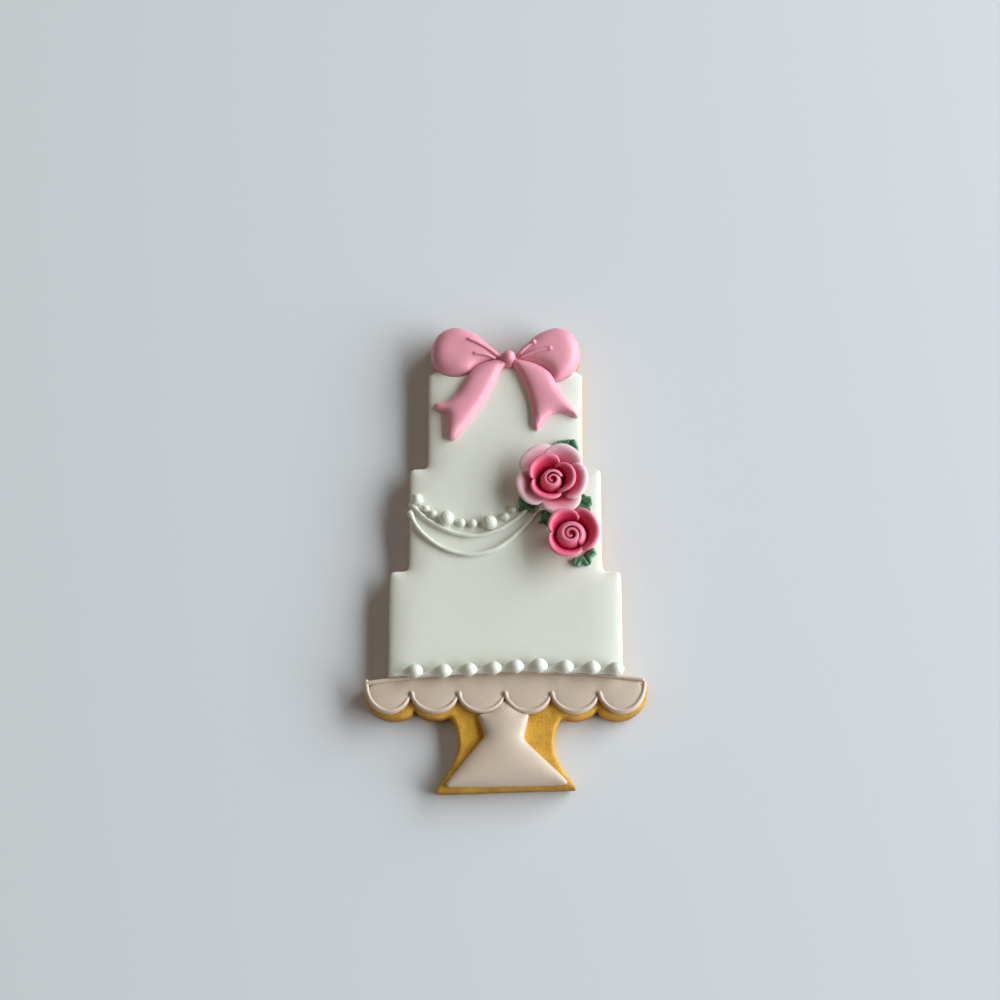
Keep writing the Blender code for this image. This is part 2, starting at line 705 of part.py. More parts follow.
def add_piping(cookie, looks, white):
    """Everything piped in lines, beads and pearls."""
    level = BISCUIT_THICK + LINE_RADIUS + GAP
    path = [(x, plate_line_up(x), level) for x in np.linspace(HEM_LEFT + 0.2, HEM_RIGHT - 0.2, 15)]
    piped_line("plate_line", path, LINE_RADIUS, cookie, looks["beige"])
    for number in range(SCALLOPS):
        trim = (END_TRIM if number == 0 else CUSP_TRIM, END_TRIM if number == SCALLOPS - 1 else CUSP_TRIM)
        path = [(x, y, level) for x, y in hem_arc(number, 0.0, 10, trim)]
        piped_line(f"scallop_line_{number + 1}", path, LINE_RADIUS, cookie, looks["beige"], 0.8)
    for name, route in (("swag_upper", UPPER_SWAG), ("swag_lower", LOWER_SWAG)):
        path = surface_line(smooth(route, 3, closed=False), SWAG_RADIUS, white)
        piped_line(name, path, SWAG_RADIUS, cookie, looks["white"], 0.7)
    for number, (across, up, radius) in enumerate(PEARLS, 1):
        rest = max(white.top(across + side * radius, up) for side in (-0.8, 0.0, 0.8))
        ball = set_down(domed_ball(radius), across, up, rest + GAP)
        add_object(f"pearl_{number}", mesh_from("pearl", ball), looks["white"], cookie)
    on_icing = white.base + white.height + GAP
    reached = -math.inf
    for number, (across, up, radius) in enumerate(BEADS, 1):
        tail = min(radius * BEAD_TAIL, across - reached)
        drop = set_down(bead(radius, tail), across, up, on_icing)
        add_object(f"bead_{number}", mesh_from("bead", drop), looks["white"], cookie)
        reached = across + radius + 2 * GAP


def add_bow(cookie, cutters, looks, white, white_icing):
    """Two loops, two tails, a knot and the creases piped on the loops."""
    knot_ring = arc(KNOT_AT, KNOT_RADIUS, 0, 330, 12)
    outlines = {
        "bow_loop_left": smooth(LEFT_LOOP, 2),
        "bow_loop_right": smooth(RIGHT_LOOP, 2),
        "bow_tail_left": smooth(LEFT_TAIL, 2),
        "bow_tail_right": smooth(RIGHT_TAIL, 2),
    }
    on_icing = white.base + white.height + GAP
    for name, outline in outlines.items():
        looped = "loop" in name
        if looped:
            part = Flood(outline, BISCUIT_THICK + GAP, LOOP_HEIGHT, LOOP_SHOULDER)
        else:
            part = Flood(outline, on_icing, TAIL_HEIGHT, TAIL_SHOULDER)
        bent = part.solid(rings=3 if looped else 2, spacing=4.0)
        obj = add_object(name, mesh_from(name, bent), looks["pink"], cookie)
        carve(obj, knot_ring, cutters)
        if looped:
            carve(obj, outlines[name.replace("loop", "tail")], cutters)
            carve(white_icing, outline, cutters)
    base = BISCUIT_THICK + GAP
    knot = set_down(domed_ball(KNOT_RADIUS, rings=8, sectors=12, sink=0.8), *KNOT_AT, on_icing)
    add_object("bow_knot", mesh_from("bow_knot", knot), looks["pink"], cookie)
    for number, (start, end, bead_radius) in enumerate(CREASES, 1):
        under = "bow_loop_left" if end[0] < 0 else "bow_loop_right"
        loop = Flood(outlines[under], base, LOOP_HEIGHT, LOOP_SHOULDER)
        points = [tuple(Vector(start).lerp(Vector(end), t)) for t in np.linspace(0, 1, 6)]
        path = surface_line(points, bead_radius, loop)
        obj = piped_line(f"bow_crease_{number}", path, CREASE_RADIUS, cookie, looks["pink"], 1.0)
        spline = obj.data.splines[0]
        spline.points[-1].radius = spline.points[-2].radius = bead_radius / CREASE_RADIUS


def main():
    clear_scene()
    cookie = new_collection("iced_sugar_cookie")
    cutters = new_collection("cutters")
    looks = {
        "biscuit": new_material("biscuit", BISCUIT_GOLD, 0.8),
        "white": new_material("white_icing", SUGAR_WHITE, 0.4),
        "beige": new_material("stand_icing", STAND_BEIGE, 0.4),
        "pink": new_material("bow_icing", BOW_PINK, 0.4),
        "blush": new_material("rose_blush", ROSE_BLUSH, 0.5),
        "deep": new_material("rose_deep", ROSE_DEEP, 0.5),
        "green": new_material("leaf_icing", LEAF_GREEN, 0.5),
    }
    base = biscuit()
    add_object("biscuit", mesh_from("biscuit", base.solid(rings=2, spacing=16.0)), looks["biscuit"], cookie)
    white = tiers()
    cake = mesh_from("icing_tiers", white.solid(rings=3))
    white_icing = add_object("icing_tiers", cake, looks["white"], cookie)
    add_object("icing_plate", mesh_from("icing_plate", plate().solid(rings=2)), looks["beige"], cookie)
    stem = mesh_from("icing_pedestal", pedestal().solid(rings=2))
    add_object("icing_pedestal", stem, looks["beige"], cookie)
    add_piping(cookie, looks, white)
    add_bow(cookie, cutters, looks, white, white_icing)
    for number in range(len(LEAVES)):
        add_object(f"leaf_{number + 1}", mesh_from("leaf", leaf(number, white)), looks["green"], cookie)
    large = {"outer_petal": (OUTER_FOOT, LARGE_OUTER_RING), "inner_petal": (INNER_FOOT, LARGE_INNER_RING)}
    small = {"petal": (SMALL_FOOT, SMALL_RING)}
    colours = {"outer_petal": looks["blush"], "inner_petal": looks["deep"], "petal": looks["deep"]}
    colours["heart"] = looks["deep"]
    add_rose("rose_large", LARGE_ROSE_AT, large, LARGE_HEART, white, cookie, colours)
    add_rose("rose_small", SMALL_ROSE_AT, small, SMALL_HEART, white, cookie, colours)


main()
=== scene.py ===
"""Looks of the iced sugar cookie: a tiered wedding cake on a stand, baked, flooded and piped.

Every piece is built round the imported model, in its frame. Lengths here are in millimetres unless a
name says otherwise, and to_metres() turns them into Blender's metres. x runs across the cookie, y from
the stand's foot to the bow, and z up from the table.
"""

import math

import bmesh
import bpy
import numpy as np
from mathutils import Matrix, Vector, geometry, noise


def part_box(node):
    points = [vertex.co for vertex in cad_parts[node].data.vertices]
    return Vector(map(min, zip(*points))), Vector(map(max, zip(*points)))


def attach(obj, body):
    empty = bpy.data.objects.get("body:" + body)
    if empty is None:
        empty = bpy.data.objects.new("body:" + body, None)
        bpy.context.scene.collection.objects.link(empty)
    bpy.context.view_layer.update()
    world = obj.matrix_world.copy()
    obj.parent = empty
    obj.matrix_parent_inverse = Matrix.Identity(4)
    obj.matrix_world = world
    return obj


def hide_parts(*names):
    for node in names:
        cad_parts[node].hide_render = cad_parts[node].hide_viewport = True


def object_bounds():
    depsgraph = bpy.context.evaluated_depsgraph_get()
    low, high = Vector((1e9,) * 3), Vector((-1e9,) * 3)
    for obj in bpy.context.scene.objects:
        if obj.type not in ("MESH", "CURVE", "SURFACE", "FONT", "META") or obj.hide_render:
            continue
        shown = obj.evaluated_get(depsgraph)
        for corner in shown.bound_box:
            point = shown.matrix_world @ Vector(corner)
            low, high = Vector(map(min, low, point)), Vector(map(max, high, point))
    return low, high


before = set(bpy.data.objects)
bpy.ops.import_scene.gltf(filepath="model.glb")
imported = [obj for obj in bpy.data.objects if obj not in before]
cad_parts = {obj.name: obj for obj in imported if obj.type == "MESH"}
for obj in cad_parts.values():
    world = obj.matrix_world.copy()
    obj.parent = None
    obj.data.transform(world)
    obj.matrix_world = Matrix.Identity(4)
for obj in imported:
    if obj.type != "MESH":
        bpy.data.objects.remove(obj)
CAD_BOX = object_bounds()

MM = 0.001
LOW, HIGH = (np.array(corner) / MM for corner in CAD_BOX)
FOOT_LEAN = 0.3  # the stand's left corner is this much lower than its foot
FOOT_Y = LOW[1] + FOOT_LEAN

# Piped lines
LINE_RADIUS = 0.54
SWAG_RADIUS = 0.62
# Where neighbouring strokes of the stand's hem meet, how low each one swings, and its two ends
CUSPS = (-23.7, -11.9, -0.35, 11.25, 23.1)
CUSP_UP, HEM_LOW = 24.6, 20.1
HEM_LEFT, HEM_RIGHT, HEM_END_UP = -34.86, 34.6, 27.6
# The line along the plate's top: its height, where it is highest, and how far it falls to the right
PLATE_LINE_CROWN, PLATE_LINE_AT, PLATE_LINE_FALL = 30.2, 3.0, 2.5
# Cross-section of a piped strand from its top to the middle of its foot, across and up, in radii
STRAND = (
    (0.0, 1.0), (0.38, 0.93), (0.71, 0.71), (0.93, 0.38), (1.0, 0.0), (0.96, -0.32), (0.95, -0.58),
    (1.04, -0.78), (1.18, -0.9), (1.2, -1.0), (0.6, -1.05),
)
# Routes of the two swags: across, and up from the stand's foot
UPPER_SWAG = (
    (-24.3, 75.2), (-22.6, 73.2), (-20.0, 70.7), (-15.0, 67.8), (-9.0, 66.4), (-3.0, 67.5), (1.2, 69.9),
    (4.7, 72.9), (6.0, 74.4),
)
LOWER_SWAG = (
    (-24.6, 72.9), (-23.0, 69.3), (-20.2, 65.9), (-15.0, 62.5), (-9.0, 61.3), (-3.0, 62.7), (2.2, 66.4),
    (7.3, 72.0), (8.6, 74.0),
)
# Flooded icing: the width over which it rounds down to its edge, and how full it stands, as a share of
# the solid's height
ICING_SHOULDER = 8.0
PLATE_SHOULDER, PEDESTAL_SHOULDER, TAIL_SHOULDER = 4.5, 8.5, 3.4
PEDESTAL_FULLNESS, LOOP_FULLNESS = 1.75, 1.5
# Drops and pearls
BEAD_REACH = 3.4  # length of a drop's tail from the middle of its head, in radii
FIRST_TAIL_ROOM = 6.8  # the first drop's tail ends this far from the hem's left end
PEARL_SUNK = 0.45
PEARL_SPREAD, PEARL_SETTLED = 1.1, 0.88  # how far the small pearls spread and sank, as shares
# The bow: where each tail is folded, from its knot down, and the radii of its creases and their ends
TAIL_FOLDS = {
    "left": ((-1.2, 115.2), (-3.0, 110.6), (-5.6, 105.4), (-9.2, 99.6), (-12.0, 95.8)),
    "right": ((2.6, 115.2), (4.9, 110.6), (6.6, 105.6), (7.7, 100.6), (8.3, 98.0)),
}
CREASE_RADIUS = 0.42
CREASE_ENDS = (0.42, 0.40, 0.72, 0.58)
# Roses: where their rings of petals and their buds stand, from the middle of the solid heart
LARGE_OUTER_AT, LARGE_INNER_AT, LARGE_BUD_AT = (0.15, -0.15, 0), (-0.4, -0.36, 0), (0.1, -1.1, 0)
SMALL_WRAP_AT, SMALL_BUD_AT = (-0.45, 0, 0), (-0.4, -0.75, 0)
OUTER_PETAL_THICK, INNER_PETAL_THICK = 0.65, 0.85


def to_metres(points):
    return np.asarray(points, float) * MM


def on_cookie(across, up):
    """A place given across and up from the stand's foot, in the model's frame."""
    return across, up + FOOT_Y


def box_mm(node):
    low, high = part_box(node)
    return np.array(low) / MM, np.array(high) / MM


def wobble(points, scale, seed):
    """Smooth noise from -1 to 1 at each point, with features of about the given size."""
    shift = Vector((seed * 17.3, seed * 5.1, seed * 9.7))
    return np.array([noise.noise(Vector(p) / scale + shift) for p in points])


# ---------------------------------------------------------------- outlines of the CAD solids


def footprint(node):
    """The outline of a CAD solid from above, as ordered points: the lower edge of its upright walls."""
    bm = bmesh.new()
    bm.from_mesh(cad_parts[node].data)
    bmesh.ops.remove_doubles(bm, verts=bm.verts, dist=1e-6)
    bm.normal_update()
    bm.edges.index_update()
    walls = [f for f in bm.faces if abs(f.normal.z) < 0.02 and f.calc_area() > 1e-12]
    foot = min(v.co.z for f in walls for v in f.verts)
    edges = {e for f in walls for e in f.edges if all(abs(v.co.z - foot) < 2e-6 for v in e.verts)}
    loops = []
    while edges:
        edge = min(edges, key=lambda e: e.index)  # the same start in every run
        edges.remove(edge)
        start, at = edge.verts
        loop = [start, at]
        while at != start:
            step = next((e for e in at.link_edges if e in edges), None)
            if step is None:
                break
            edges.remove(step)
            at = step.other_vert(at)
            loop.append(at)
        loops.append(np.array([v.co[:2] for v in loop[:-1]]) / MM)
    bm.free()
    outline = max(loops, key=lambda ring: abs(area(ring)))
    return outline if area(outline) > 0 else outline[::-1]


def area(ring):
    x, y = np.asarray(ring).T
    return 0.5 * float(np.sum(x * np.roll(y, -1) - y * np.roll(x, -1)))


def curve_through(points, spacing, closed=True):
    """A smooth centripetal Catmull-Rom curve through the points, as evenly spaced points."""
    points = np.asarray(points, float)
    if closed:
        ring = np.vstack([points[-1], points, points[:2]])
    else:
        ring = np.vstack([2 * points[0] - points[1], points, 2 * points[-1] - points[-2]])
    out = []
    for a, b, c, d in zip(ring, ring[1:], ring[2:], ring[3:]):
        knots = np.cumsum([0, *(max(math.dist(p, q), 1e-9) ** 0.5 for p, q in ((a, b), (b, c), (c, d)))])
        steps = max(2, math.ceil(math.dist(b, c) / spacing * 2) + 1)
        t = np.linspace(knots[1], knots[2], steps)[:-1, None]
        ab = (knots[1] - t) / knots[1] * a + t / knots[1] * b
        bc = ((knots[2] - t) * b + (t - knots[1]) * c) / (knots[2] - knots[1])
        cd = ((knots[3] - t) * c + (t - knots[2]) * d) / (knots[3] - knots[2])
        abc = ((knots[2] - t) * ab + t * bc) / knots[2]
        bcd = ((knots[3] - t) * bc + (t - knots[1]) * cd) / (knots[3] - knots[1])
        out.append(((knots[2] - t) * abc + (t - knots[1]) * bcd) / (knots[2] - knots[1]))
    curve = np.vstack([*out, ring[-2] if closed else points[-1]])
    return evenly(curve, spacing, closed)


def evenly(curve, spacing, closed):
    run = np.concatenate([[0], np.cumsum(np.linalg.norm(np.diff(curve, axis=0), axis=1))])
    count = max(3, round(run[-1] / spacing))
    at = np.linspace(0, run[-1], count + 1)[: -1 if closed else None]
    return np.stack([np.interp(at, run, column) for column in curve.T], axis=1)


def smoothed(outline, spacing, sharp=42.0):
    """The outline as a smooth curve that keeps its sharp corners."""
    along = np.roll(outline, -1, axis=0) - outline
    heading = np.arctan2(along[:, 1], along[:, 0])
    turn = np.degrees(np.abs((heading - np.roll(heading, 1) + math.pi) % (2 * math.pi) - math.pi))
    corners = np.flatnonzero(turn > sharp)
    if not len(corners):
        return curve_through(outline, spacing)
    rolled = np.roll(outline, -corners[0], axis=0)
    cuts = [*(corners - corners[0]), len(outline)]
    whole = np.vstack([rolled, rolled[:1]])
    stretches = [
        curve_through(whole[a : b + 1], spacing, closed=False)[:-1] if b - a > 1 else whole[a : a + 1]
        for a, b in zip(cuts, cuts[1:])
    ]
    return np.vstack(stretches)


def segments(ring):
    return ring, np.roll(ring, -1, axis=0) - ring


def in_blocks(measure, points, size=2000):
    points = np.asarray(points, float)
    return np.concatenate([measure(points[i : i + size]) for i in range(0, len(points), size)])


def distance(ring, points):
    """How far each point is from the outline."""
    start, side = segments(ring)

    def measure(some):
        to_point = some[:, None, :] - start[None]
        share = np.clip((to_point * side).sum(2) / np.maximum((side**2).sum(1), 1e-12), 0, 1)
        return np.sqrt(((to_point - share[..., None] * side) ** 2).sum(2).min(1))

    return in_blocks(measure, points)


def depth(ring, points, sides=slice(None)):
    """A smooth measure of how deep inside an outline each point lies. Close to a straight edge it is the
    distance, and it has no ridges, so that a surface that follows it swells like poured icing. Only the
    given sides of the outline count."""
    start, side = (part[sides] for part in segments(ring))
    length = np.maximum(np.linalg.norm(side, axis=1), 1e-9)
    along = side / length[:, None]

    def measure(some):
        to_point = some[:, None, :] - start[None]
        run = (to_point * along).sum(2)
        away = np.maximum(np.abs(to_point[..., 0] * along[:, 1] - to_point[..., 1] * along[:, 0]), 1e-3)
        ahead, behind = length - run, -run
        share = ahead / np.sqrt(away**2 + ahead**2) - behind / np.sqrt(away**2 + behind**2)
        return (0.5 * (share / away**2).sum(1)) ** -0.5

    return np.maximum(in_blocks(measure, points), 0.0)


def inside(ring, points):
    start, side = segments(ring)
    end = start + side

    def measure(some):
        x, y = some[:, :1], some[:, 1:]
        crosses = (start[:, 1] > y) != (end[:, 1] > y)
        rise = np.where(np.abs(side[:, 1]) < 1e-12, 1e-12, side[:, 1])
        return (crosses & (x < side[:, 0] * (y - start[:, 1]) / rise + start[:, 0])).sum(1) % 2 == 1

    return in_blocks(measure, points)


def grown(ring, by):
    along = np.roll(ring, -1, axis=0) - np.roll(ring, 1, axis=0)
    along /= np.maximum(np.linalg.norm(along, axis=1, keepdims=True), 1e-9)
    return ring + by * np.stack([along[:, 1], -along[:, 0]], axis=1)


# ---------------------------------------------------------------- making meshes


def new_piece(name, points, faces, finish, replaces, smooth=True, values=None):
    """Adds a mesh as a piece of the cookie that stands for the CAD nodes it replaces."""
    mesh = bpy.data.meshes.new(name)
    mesh.from_pydata([tuple(p) for p in to_metres(points)], [], faces)
    mesh.materials.append(finish)
    for key, numbers in (values or {}).items():
        layer = mesh.attributes.new(key, "FLOAT", "POINT")
        layer.data.foreach_set("value", np.asarray(numbers, np.float32))
    mesh.validate()
    bm = bmesh.new()
    bm.from_mesh(mesh)
    bmesh.ops.recalc_face_normals(bm, faces=bm.faces)
    bm.to_mesh(mesh)
    bm.free()
    if smooth:
        mesh.shade_smooth()
    piece = bpy.data.objects.new(name, mesh)
    bpy.context.scene.collection.objects.link(piece)
    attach(piece, "root")
    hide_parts(*replaces)
    return piece


def sheet_of(ring, depths, spacing):
    """Triangles that fill an outline: rows that follow its edge, then an even grid.
    Gives the points, of which the outline's come first, and the triangles."""
    found = []
    for inset in depths:
        row = grown(ring, -inset)
        found.append(row[inside(ring, row) & (distance(ring, row) > 0.96 * inset)])
    low, high = ring.min(0), ring.max(0)
    rows = np.arange(low[1], high[1], spacing * 0.87)
    columns = np.arange(low[0], high[0], spacing)
    grid = np.array([(x + spacing / 2 * (k % 2), y) for k, y in enumerate(rows) for x in columns])
    far = depths[-1] + spacing * 0.5
    grid = grid[inside(ring, grid) & (distance(ring, grid) > far)]
    places = np.vstack([ring, *found, grid])
    border = [list(range(len(ring)))]
    flat, _, facets, *_ = geometry.delaunay_2d_cdt([Vector(p) for p in places], [], border, 1, 1e-5)
    return np.array([tuple(p) for p in flat]), [list(f) for f in facets]


def rounded_rows(width, count, first=0.02):
    """Insets that sample a quarter-round of this width evenly."""
    turns = np.linspace(0, math.pi / 2, count + 1)[1:]
    return [max(first, width * (1 - math.cos(t))) for t in turns]


def slab(flat, facets, border, top, bottom, wall_rows=0):
    """A closed body from a filled outline, the height of its top at each point and of its underside."""
    count = len(flat)
    upper = np.column_stack([flat, top])
    lower = np.column_stack([flat, bottom])
    faces = list(facets) + [[i + count for i in reversed(f)] for f in facets]
    points = [upper, lower]
    rings = [list(range(border))]
    for k in range(wall_rows):
        share = (k + 1) / (wall_rows + 1)
        points.append(upper[:border] * (1 - share) + lower[:border] * share)
        start = 2 * count + k * border
        rings.append(list(range(start, start + border)))
    rings.append([i + count for i in range(border)])
    for above, below in zip(rings, rings[1:]):
        for i in range(border):
            j = (i + 1) % border
            faces.append((above[i], below[i], below[j], above[j]))
    return np.vstack(points), faces


def dome(deep, width, height, edge):
    """Height of poured icing at a depth from its edge: an upright rim, then a rounded shoulder."""
    share = np.clip(1 - deep / width, 0, 1)
    return height * (edge + (1 - edge) * np.sqrt(1 - share**2))


class Pad:
    """A patch of poured icing: its outline, its base, and the function that gives its height."""

    def __init__(self, ring, base, width, height, edge=0.2, shape=None):
        self.ring, self.base, self.width, self.height, self.edge = ring, base, width, height, edge
        self.shape = shape

    def top(self, places):
        places = np.asarray(places, float).reshape(-1, 2)
        lift = dome(depth(self.ring, places), self.width, self.height, self.edge)
        if self.shape:
            lift = self.shape(places, lift)
        return self.base + lift

    def body(self, rows, spacing, sunk=0.6):
        flat, facets = sheet_of(self.ring, rounded_rows(self.width, rows), spacing)
        return slab(flat, facets, len(self.ring), self.top(flat), np.full(len(flat), self.base - sunk))


def tube(path, radii, sides=16, squash=1.0, section=None):
    """A closed piped strand along a path of (x, y, z) points, with a radius at each and rounded ends.
    A section gives the half of its cross-section, from the top to the foot; without one it is round."""
    path = np.asarray(path, float)
    radii = np.asarray(radii, float) * np.ones(len(path))
    caps = np.radians([0, 18, 36, 54, 72])
    start, end = path[0] - path[1], path[-1] - path[-2]
    start, end = start / np.linalg.norm(start), end / np.linalg.norm(end)
    head = [path[0] + start * radii[0] * math.cos(c) for c in caps[1:]]
    tail = [path[-1] + end * radii[-1] * math.sin(c) for c in caps[1:]]
    spine = np.vstack([*head, path, *tail])
    sizes = np.concatenate([radii[0] * np.sin(caps[1:]), radii, radii[-1] * np.cos(caps[1:])])
    along = np.gradient(spine, axis=0)
    along /= np.linalg.norm(along, axis=1, keepdims=True)
    aside = np.cross(along, (0, 0, 1.0))
    aside /= np.linalg.norm(aside, axis=1, keepdims=True)
    lift = np.cross(aside, along)
    if section is None:
        turn = np.linspace(0, 2 * math.pi, sides, endpoint=False)
        across, up = np.cos(turn), squash * np.sin(turn)
    else:
        across, up = np.array([*section, *((-x, y) for x, y in section[:0:-1])]).T
        sides = len(across)
    ring = across[None, :, None] * aside[:, None] + up[None, :, None] * lift[:, None]
    points = (spine[:, None] + sizes[:, None, None] * ring).reshape(-1, 3)
    faces = []
    for k in range(len(spine) - 1):
        for i in range(sides):
            j = (i + 1) % sides
            faces.append((k * sides + i, k * sides + j, (k + 1) * sides + j, (k + 1) * sides + i))
    points = np.vstack([points, path[0] + start * radii[0], path[-1] + end * radii[-1]])
    first, last, ring = len(points) - 2, len(points) - 1, (len(spine) - 1) * sides
    faces += [(first, (i + 1) % sides, i) for i in range(sides)]
    faces += [(last, ring + i, ring + (i + 1) % sides) for i in range(sides)]
    return points, faces


def turned(profile, sectors, centre, uneven=0.0, seed=0):
    """A body of revolution from (radius, height) points, the first and last of them on its axis."""
    profile = np.asarray(profile, float)
    turn = np.linspace(0, 2 * math.pi, sectors, endpoint=False)
    bumps = [noise.noise(Vector((math.cos(a), math.sin(a), seed * 3.7))) for a in turn]
    sway = 1 + uneven * np.array(bumps)
    rows = [
        np.column_stack([r * sway * np.cos(turn), r * sway * np.sin(turn), np.full(sectors, h)])
        for r, h in profile[1:-1]
    ]
    points = np.vstack([*rows, (0, 0, profile[0][1]), (0, 0, profile[-1][1])]) + centre
    faces = []
    for k in range(len(rows) - 1):
        for i in range(sectors):
            j = (i + 1) % sectors
            faces.append((k * sectors + i, (k + 1) * sectors + i, (k + 1) * sectors + j, k * sectors + j))
    first, last, ring = len(points) - 2, len(points) - 1, (len(rows) - 1) * sectors
    faces += [(first, i, (i + 1) % sectors) for i in range(sectors)]
    faces += [(last, ring + (i + 1) % sectors, ring + i) for i in range(sectors)]
    return points, faces


# ---------------------------------------------------------------- materials


class Value:
    """A number or colour that runs through a material, with arithmetic that adds Math nodes."""

    def __init__(self, finish, socket):
        self.finish, self.socket = finish, socket

    def _math(self, operation, *terms):
        return self.finish.add("ShaderNodeMath", {"operation": operation}, *terms)

    def __add__(self, other):
        return self._math("ADD", self, other)

    __radd__ = __add__

    def __sub__(self, other):
        return self._math("SUBTRACT", self, other)

    def __rsub__(self, other):
        return self._math("SUBTRACT", other, self)

    def __mul__(self, other):
        return self._math("MULTIPLY", self, other)

    __rmul__ = __mul__

    def smooth(self, low, high):
        """0 below low and 1 above high, with a soft step between."""
        soft = {"interpolation_type": "SMOOTHSTEP"}
        return self.finish.add("ShaderNodeMapRange", soft, self, low, high, 0.0, 1.0)


class Finish:
    """A material under construction."""

    def __init__(self, name):
        self.material = bpy.data.materials.new(name)
        self.material.use_nodes = True
        self.tree = self.material.node_tree
        self.shader = self.tree.nodes["Principled BSDF"]

    def add(self, kind, settings, *inputs, out=0, **named):
        """Adds a node: its type, its settings, then the values or links of its sockets."""
        node = self.tree.nodes.new(kind)
        for key, value in settings.items():
            setattr(node, key, value)
        for key, value in [*enumerate(inputs), *named.items()]:
            if isinstance(value, Value):
                self.tree.links.new(value.socket, node.inputs[key])
            else:
                node.inputs[key].default_value = value
        return Value(self, node.outputs[out])

    def place(self):
        """Places on the object, in millimetres."""
        spot = self.add("ShaderNodeTexCoord", {}, out="Object")
        return self.add("ShaderNodeVectorMath", {"operation": "SCALE"}, spot, Scale=1.0 / MM)

    def grain(self, size, detail=3.0, rough=0.55, spot=None):
        """Noise between 0 and 1 with features of about the given size in millimetres."""
        spot = spot or self.place()
        return self.add(
            "ShaderNodeTexNoise", {"noise_dimensions": "3D"},
            Vector=spot, Scale=1.0 / size, Detail=detail, Roughness=rough,
        )

    def mix(self, share, first, second):
        """A colour between two colours."""
        node = self.tree.nodes.new("ShaderNodeMix")
        node.data_type = "RGBA"
        factor, one, other = (node.inputs[k] for k in (0, 6, 7))
        for socket, value in ((factor, share), (one, first), (other, second)):
            if isinstance(value, Value):
                self.tree.links.new(value.socket, socket)
            else:
                socket.default_value = (*value, 1.0) if isinstance(value, tuple) else value
        return Value(self, node.outputs[2])

    def bump(self, height, strength, reach):
        """The surface's normal, raised by a height that spans a distance in millimetres."""
        return self.add("ShaderNodeBump", {}, Strength=strength, Distance=reach * MM, Height=height)

    def attribute(self, name):
        return self.add("ShaderNodeAttribute", {"attribute_name": name}, out="Fac")

    def done(self, **sockets):
        for key, value in sockets.items():
            socket = self.shader.inputs[key.replace("_", " ")]
            if isinstance(value, Value):
                self.tree.links.new(value.socket, socket)
            elif isinstance(value, tuple) and len(value) == 3 and socket.type == "RGBA":
                socket.default_value = (*value, 1.0)
            else:
                socket.default_value = value
        return self.material


def icing_finish(name, colour, shade, roughness=0.42, glow=0.12):
    """Dried royal icing: satin, faintly mottled, with the fine grain of its sugar."""
    f = Finish(name)
    mottle = f.grain(6.0, 2.0)
    speckle = f.grain(0.35, 2.0)
    tone = f.mix((mottle - 0.35) * 1.6 + (speckle - 0.5) * 0.25, shade, colour)
    relief = f.grain(2.6, 2.0) * 0.6 + f.grain(0.28, 3.0) * 0.16
    return f.done(
        Base_Color=tone,
        Roughness=roughness + (f.grain(1.2, 2.0) - 0.5) * 0.14,
        Normal=f.bump(relief, 0.5, 0.12),
        Subsurface_Weight=glow,
        Subsurface_Radius=(1.0, 0.7, 0.5),
        Subsurface_Scale=0.0012,
        Specular_IOR_Level=0.45,
    )


def biscuit_finish():
    """Baked dough: golden crumb, browner round its foot, partly baked crust and partly painted shade on
    its dimly lit sides, darker in its pores, partly specks and partly painted shade in their dents, dry.
    """
    f = Finish("baked biscuit")
    spot = f.place()
    high = f.add("ShaderNodeSeparateXYZ", {}, spot, out="Z")
    broad = f.grain(7.0, 3.0, spot=spot)
    crumb = f.grain(0.6, 4.0, 0.65, spot=spot)
    sand = f.grain(0.25, 3.0, 0.7, spot=spot)
    pores = f.add("ShaderNodeTexVoronoi", {"feature": "F1"}, Vector=spot, Scale=1.6, Randomness=1.0)
    pore = 1.0 - pores.smooth(0.04, 0.24)
    golden = f.mix(broad.smooth(0.3, 0.7), (0.50, 0.225, 0.022), (0.80, 0.43, 0.052))
    sandy = f.mix(crumb.smooth(0.42, 0.72), golden, (0.76, 0.44, 0.06))
    # Darker towards the foot: partly the baked crust, partly painted shade on the sides, which get little
    # light.
    crust_and_side_shade = f.mix((1.0 - high.smooth(0.4, 4.3)) * 0.85, sandy, (0.37, 0.135, 0.016))
    # Darker in the pores: partly dark specks of the crumb, partly painted shade in the dents the bump
    # makes.
    specks_and_pore_shade = f.mix(pore * 0.45, crust_and_side_shade, (0.30, 0.12, 0.02))
    relief = crumb * 0.7 + sand * 0.45 - pore * 0.5
    return f.done(
        Base_Color=specks_and_pore_shade,
        Roughness=0.72 + (sand - 0.5) * 0.3,
        Normal=f.bump(relief, 0.75, 0.28),
        Subsurface_Weight=0.06,
        Subsurface_Radius=(1.0, 0.5, 0.2),
        Subsurface_Scale=0.001,
        Specular_IOR_Level=0.3,
    )


def petal_finish(name, deep, middle, pale, roughness=0.5):
    """Sugar paste petals: deep at the foot, partly their own colour and partly painted shade where they
    rise from under their neighbours, paler towards a worn, dusted rim.
    """
    f = Finish(name)
    rise = f.attribute("rise")
    dust = f.grain(0.5, 3.0)
    share = rise + (f.grain(2.0, 2.0) - 0.5) * 0.22 + (dust - 0.5) * 0.08
    # Painted shade: the deep foot colour stands partly for the paste's deeper colour and partly for shade
    # between the petals.
    lower = f.mix(share.smooth(0.05, 0.62), deep, middle)
    tone = f.mix(share.smooth(0.62, 0.98), lower, pale)
    relief = f.grain(1.4, 2.0) * 0.4 + f.grain(0.22, 3.0) * 0.2
    return f.done(
        Base_Color=tone,
        Roughness=roughness + (dust - 0.5) * 0.16,
        Normal=f.bump(relief, 0.4, 0.12),
        Subsurface_Weight=0.12,
        Subsurface_Radius=(1.0, 0.35, 0.35),
        Subsurface_Scale=0.001,
        Specular_IOR_Level=0.4,
    )


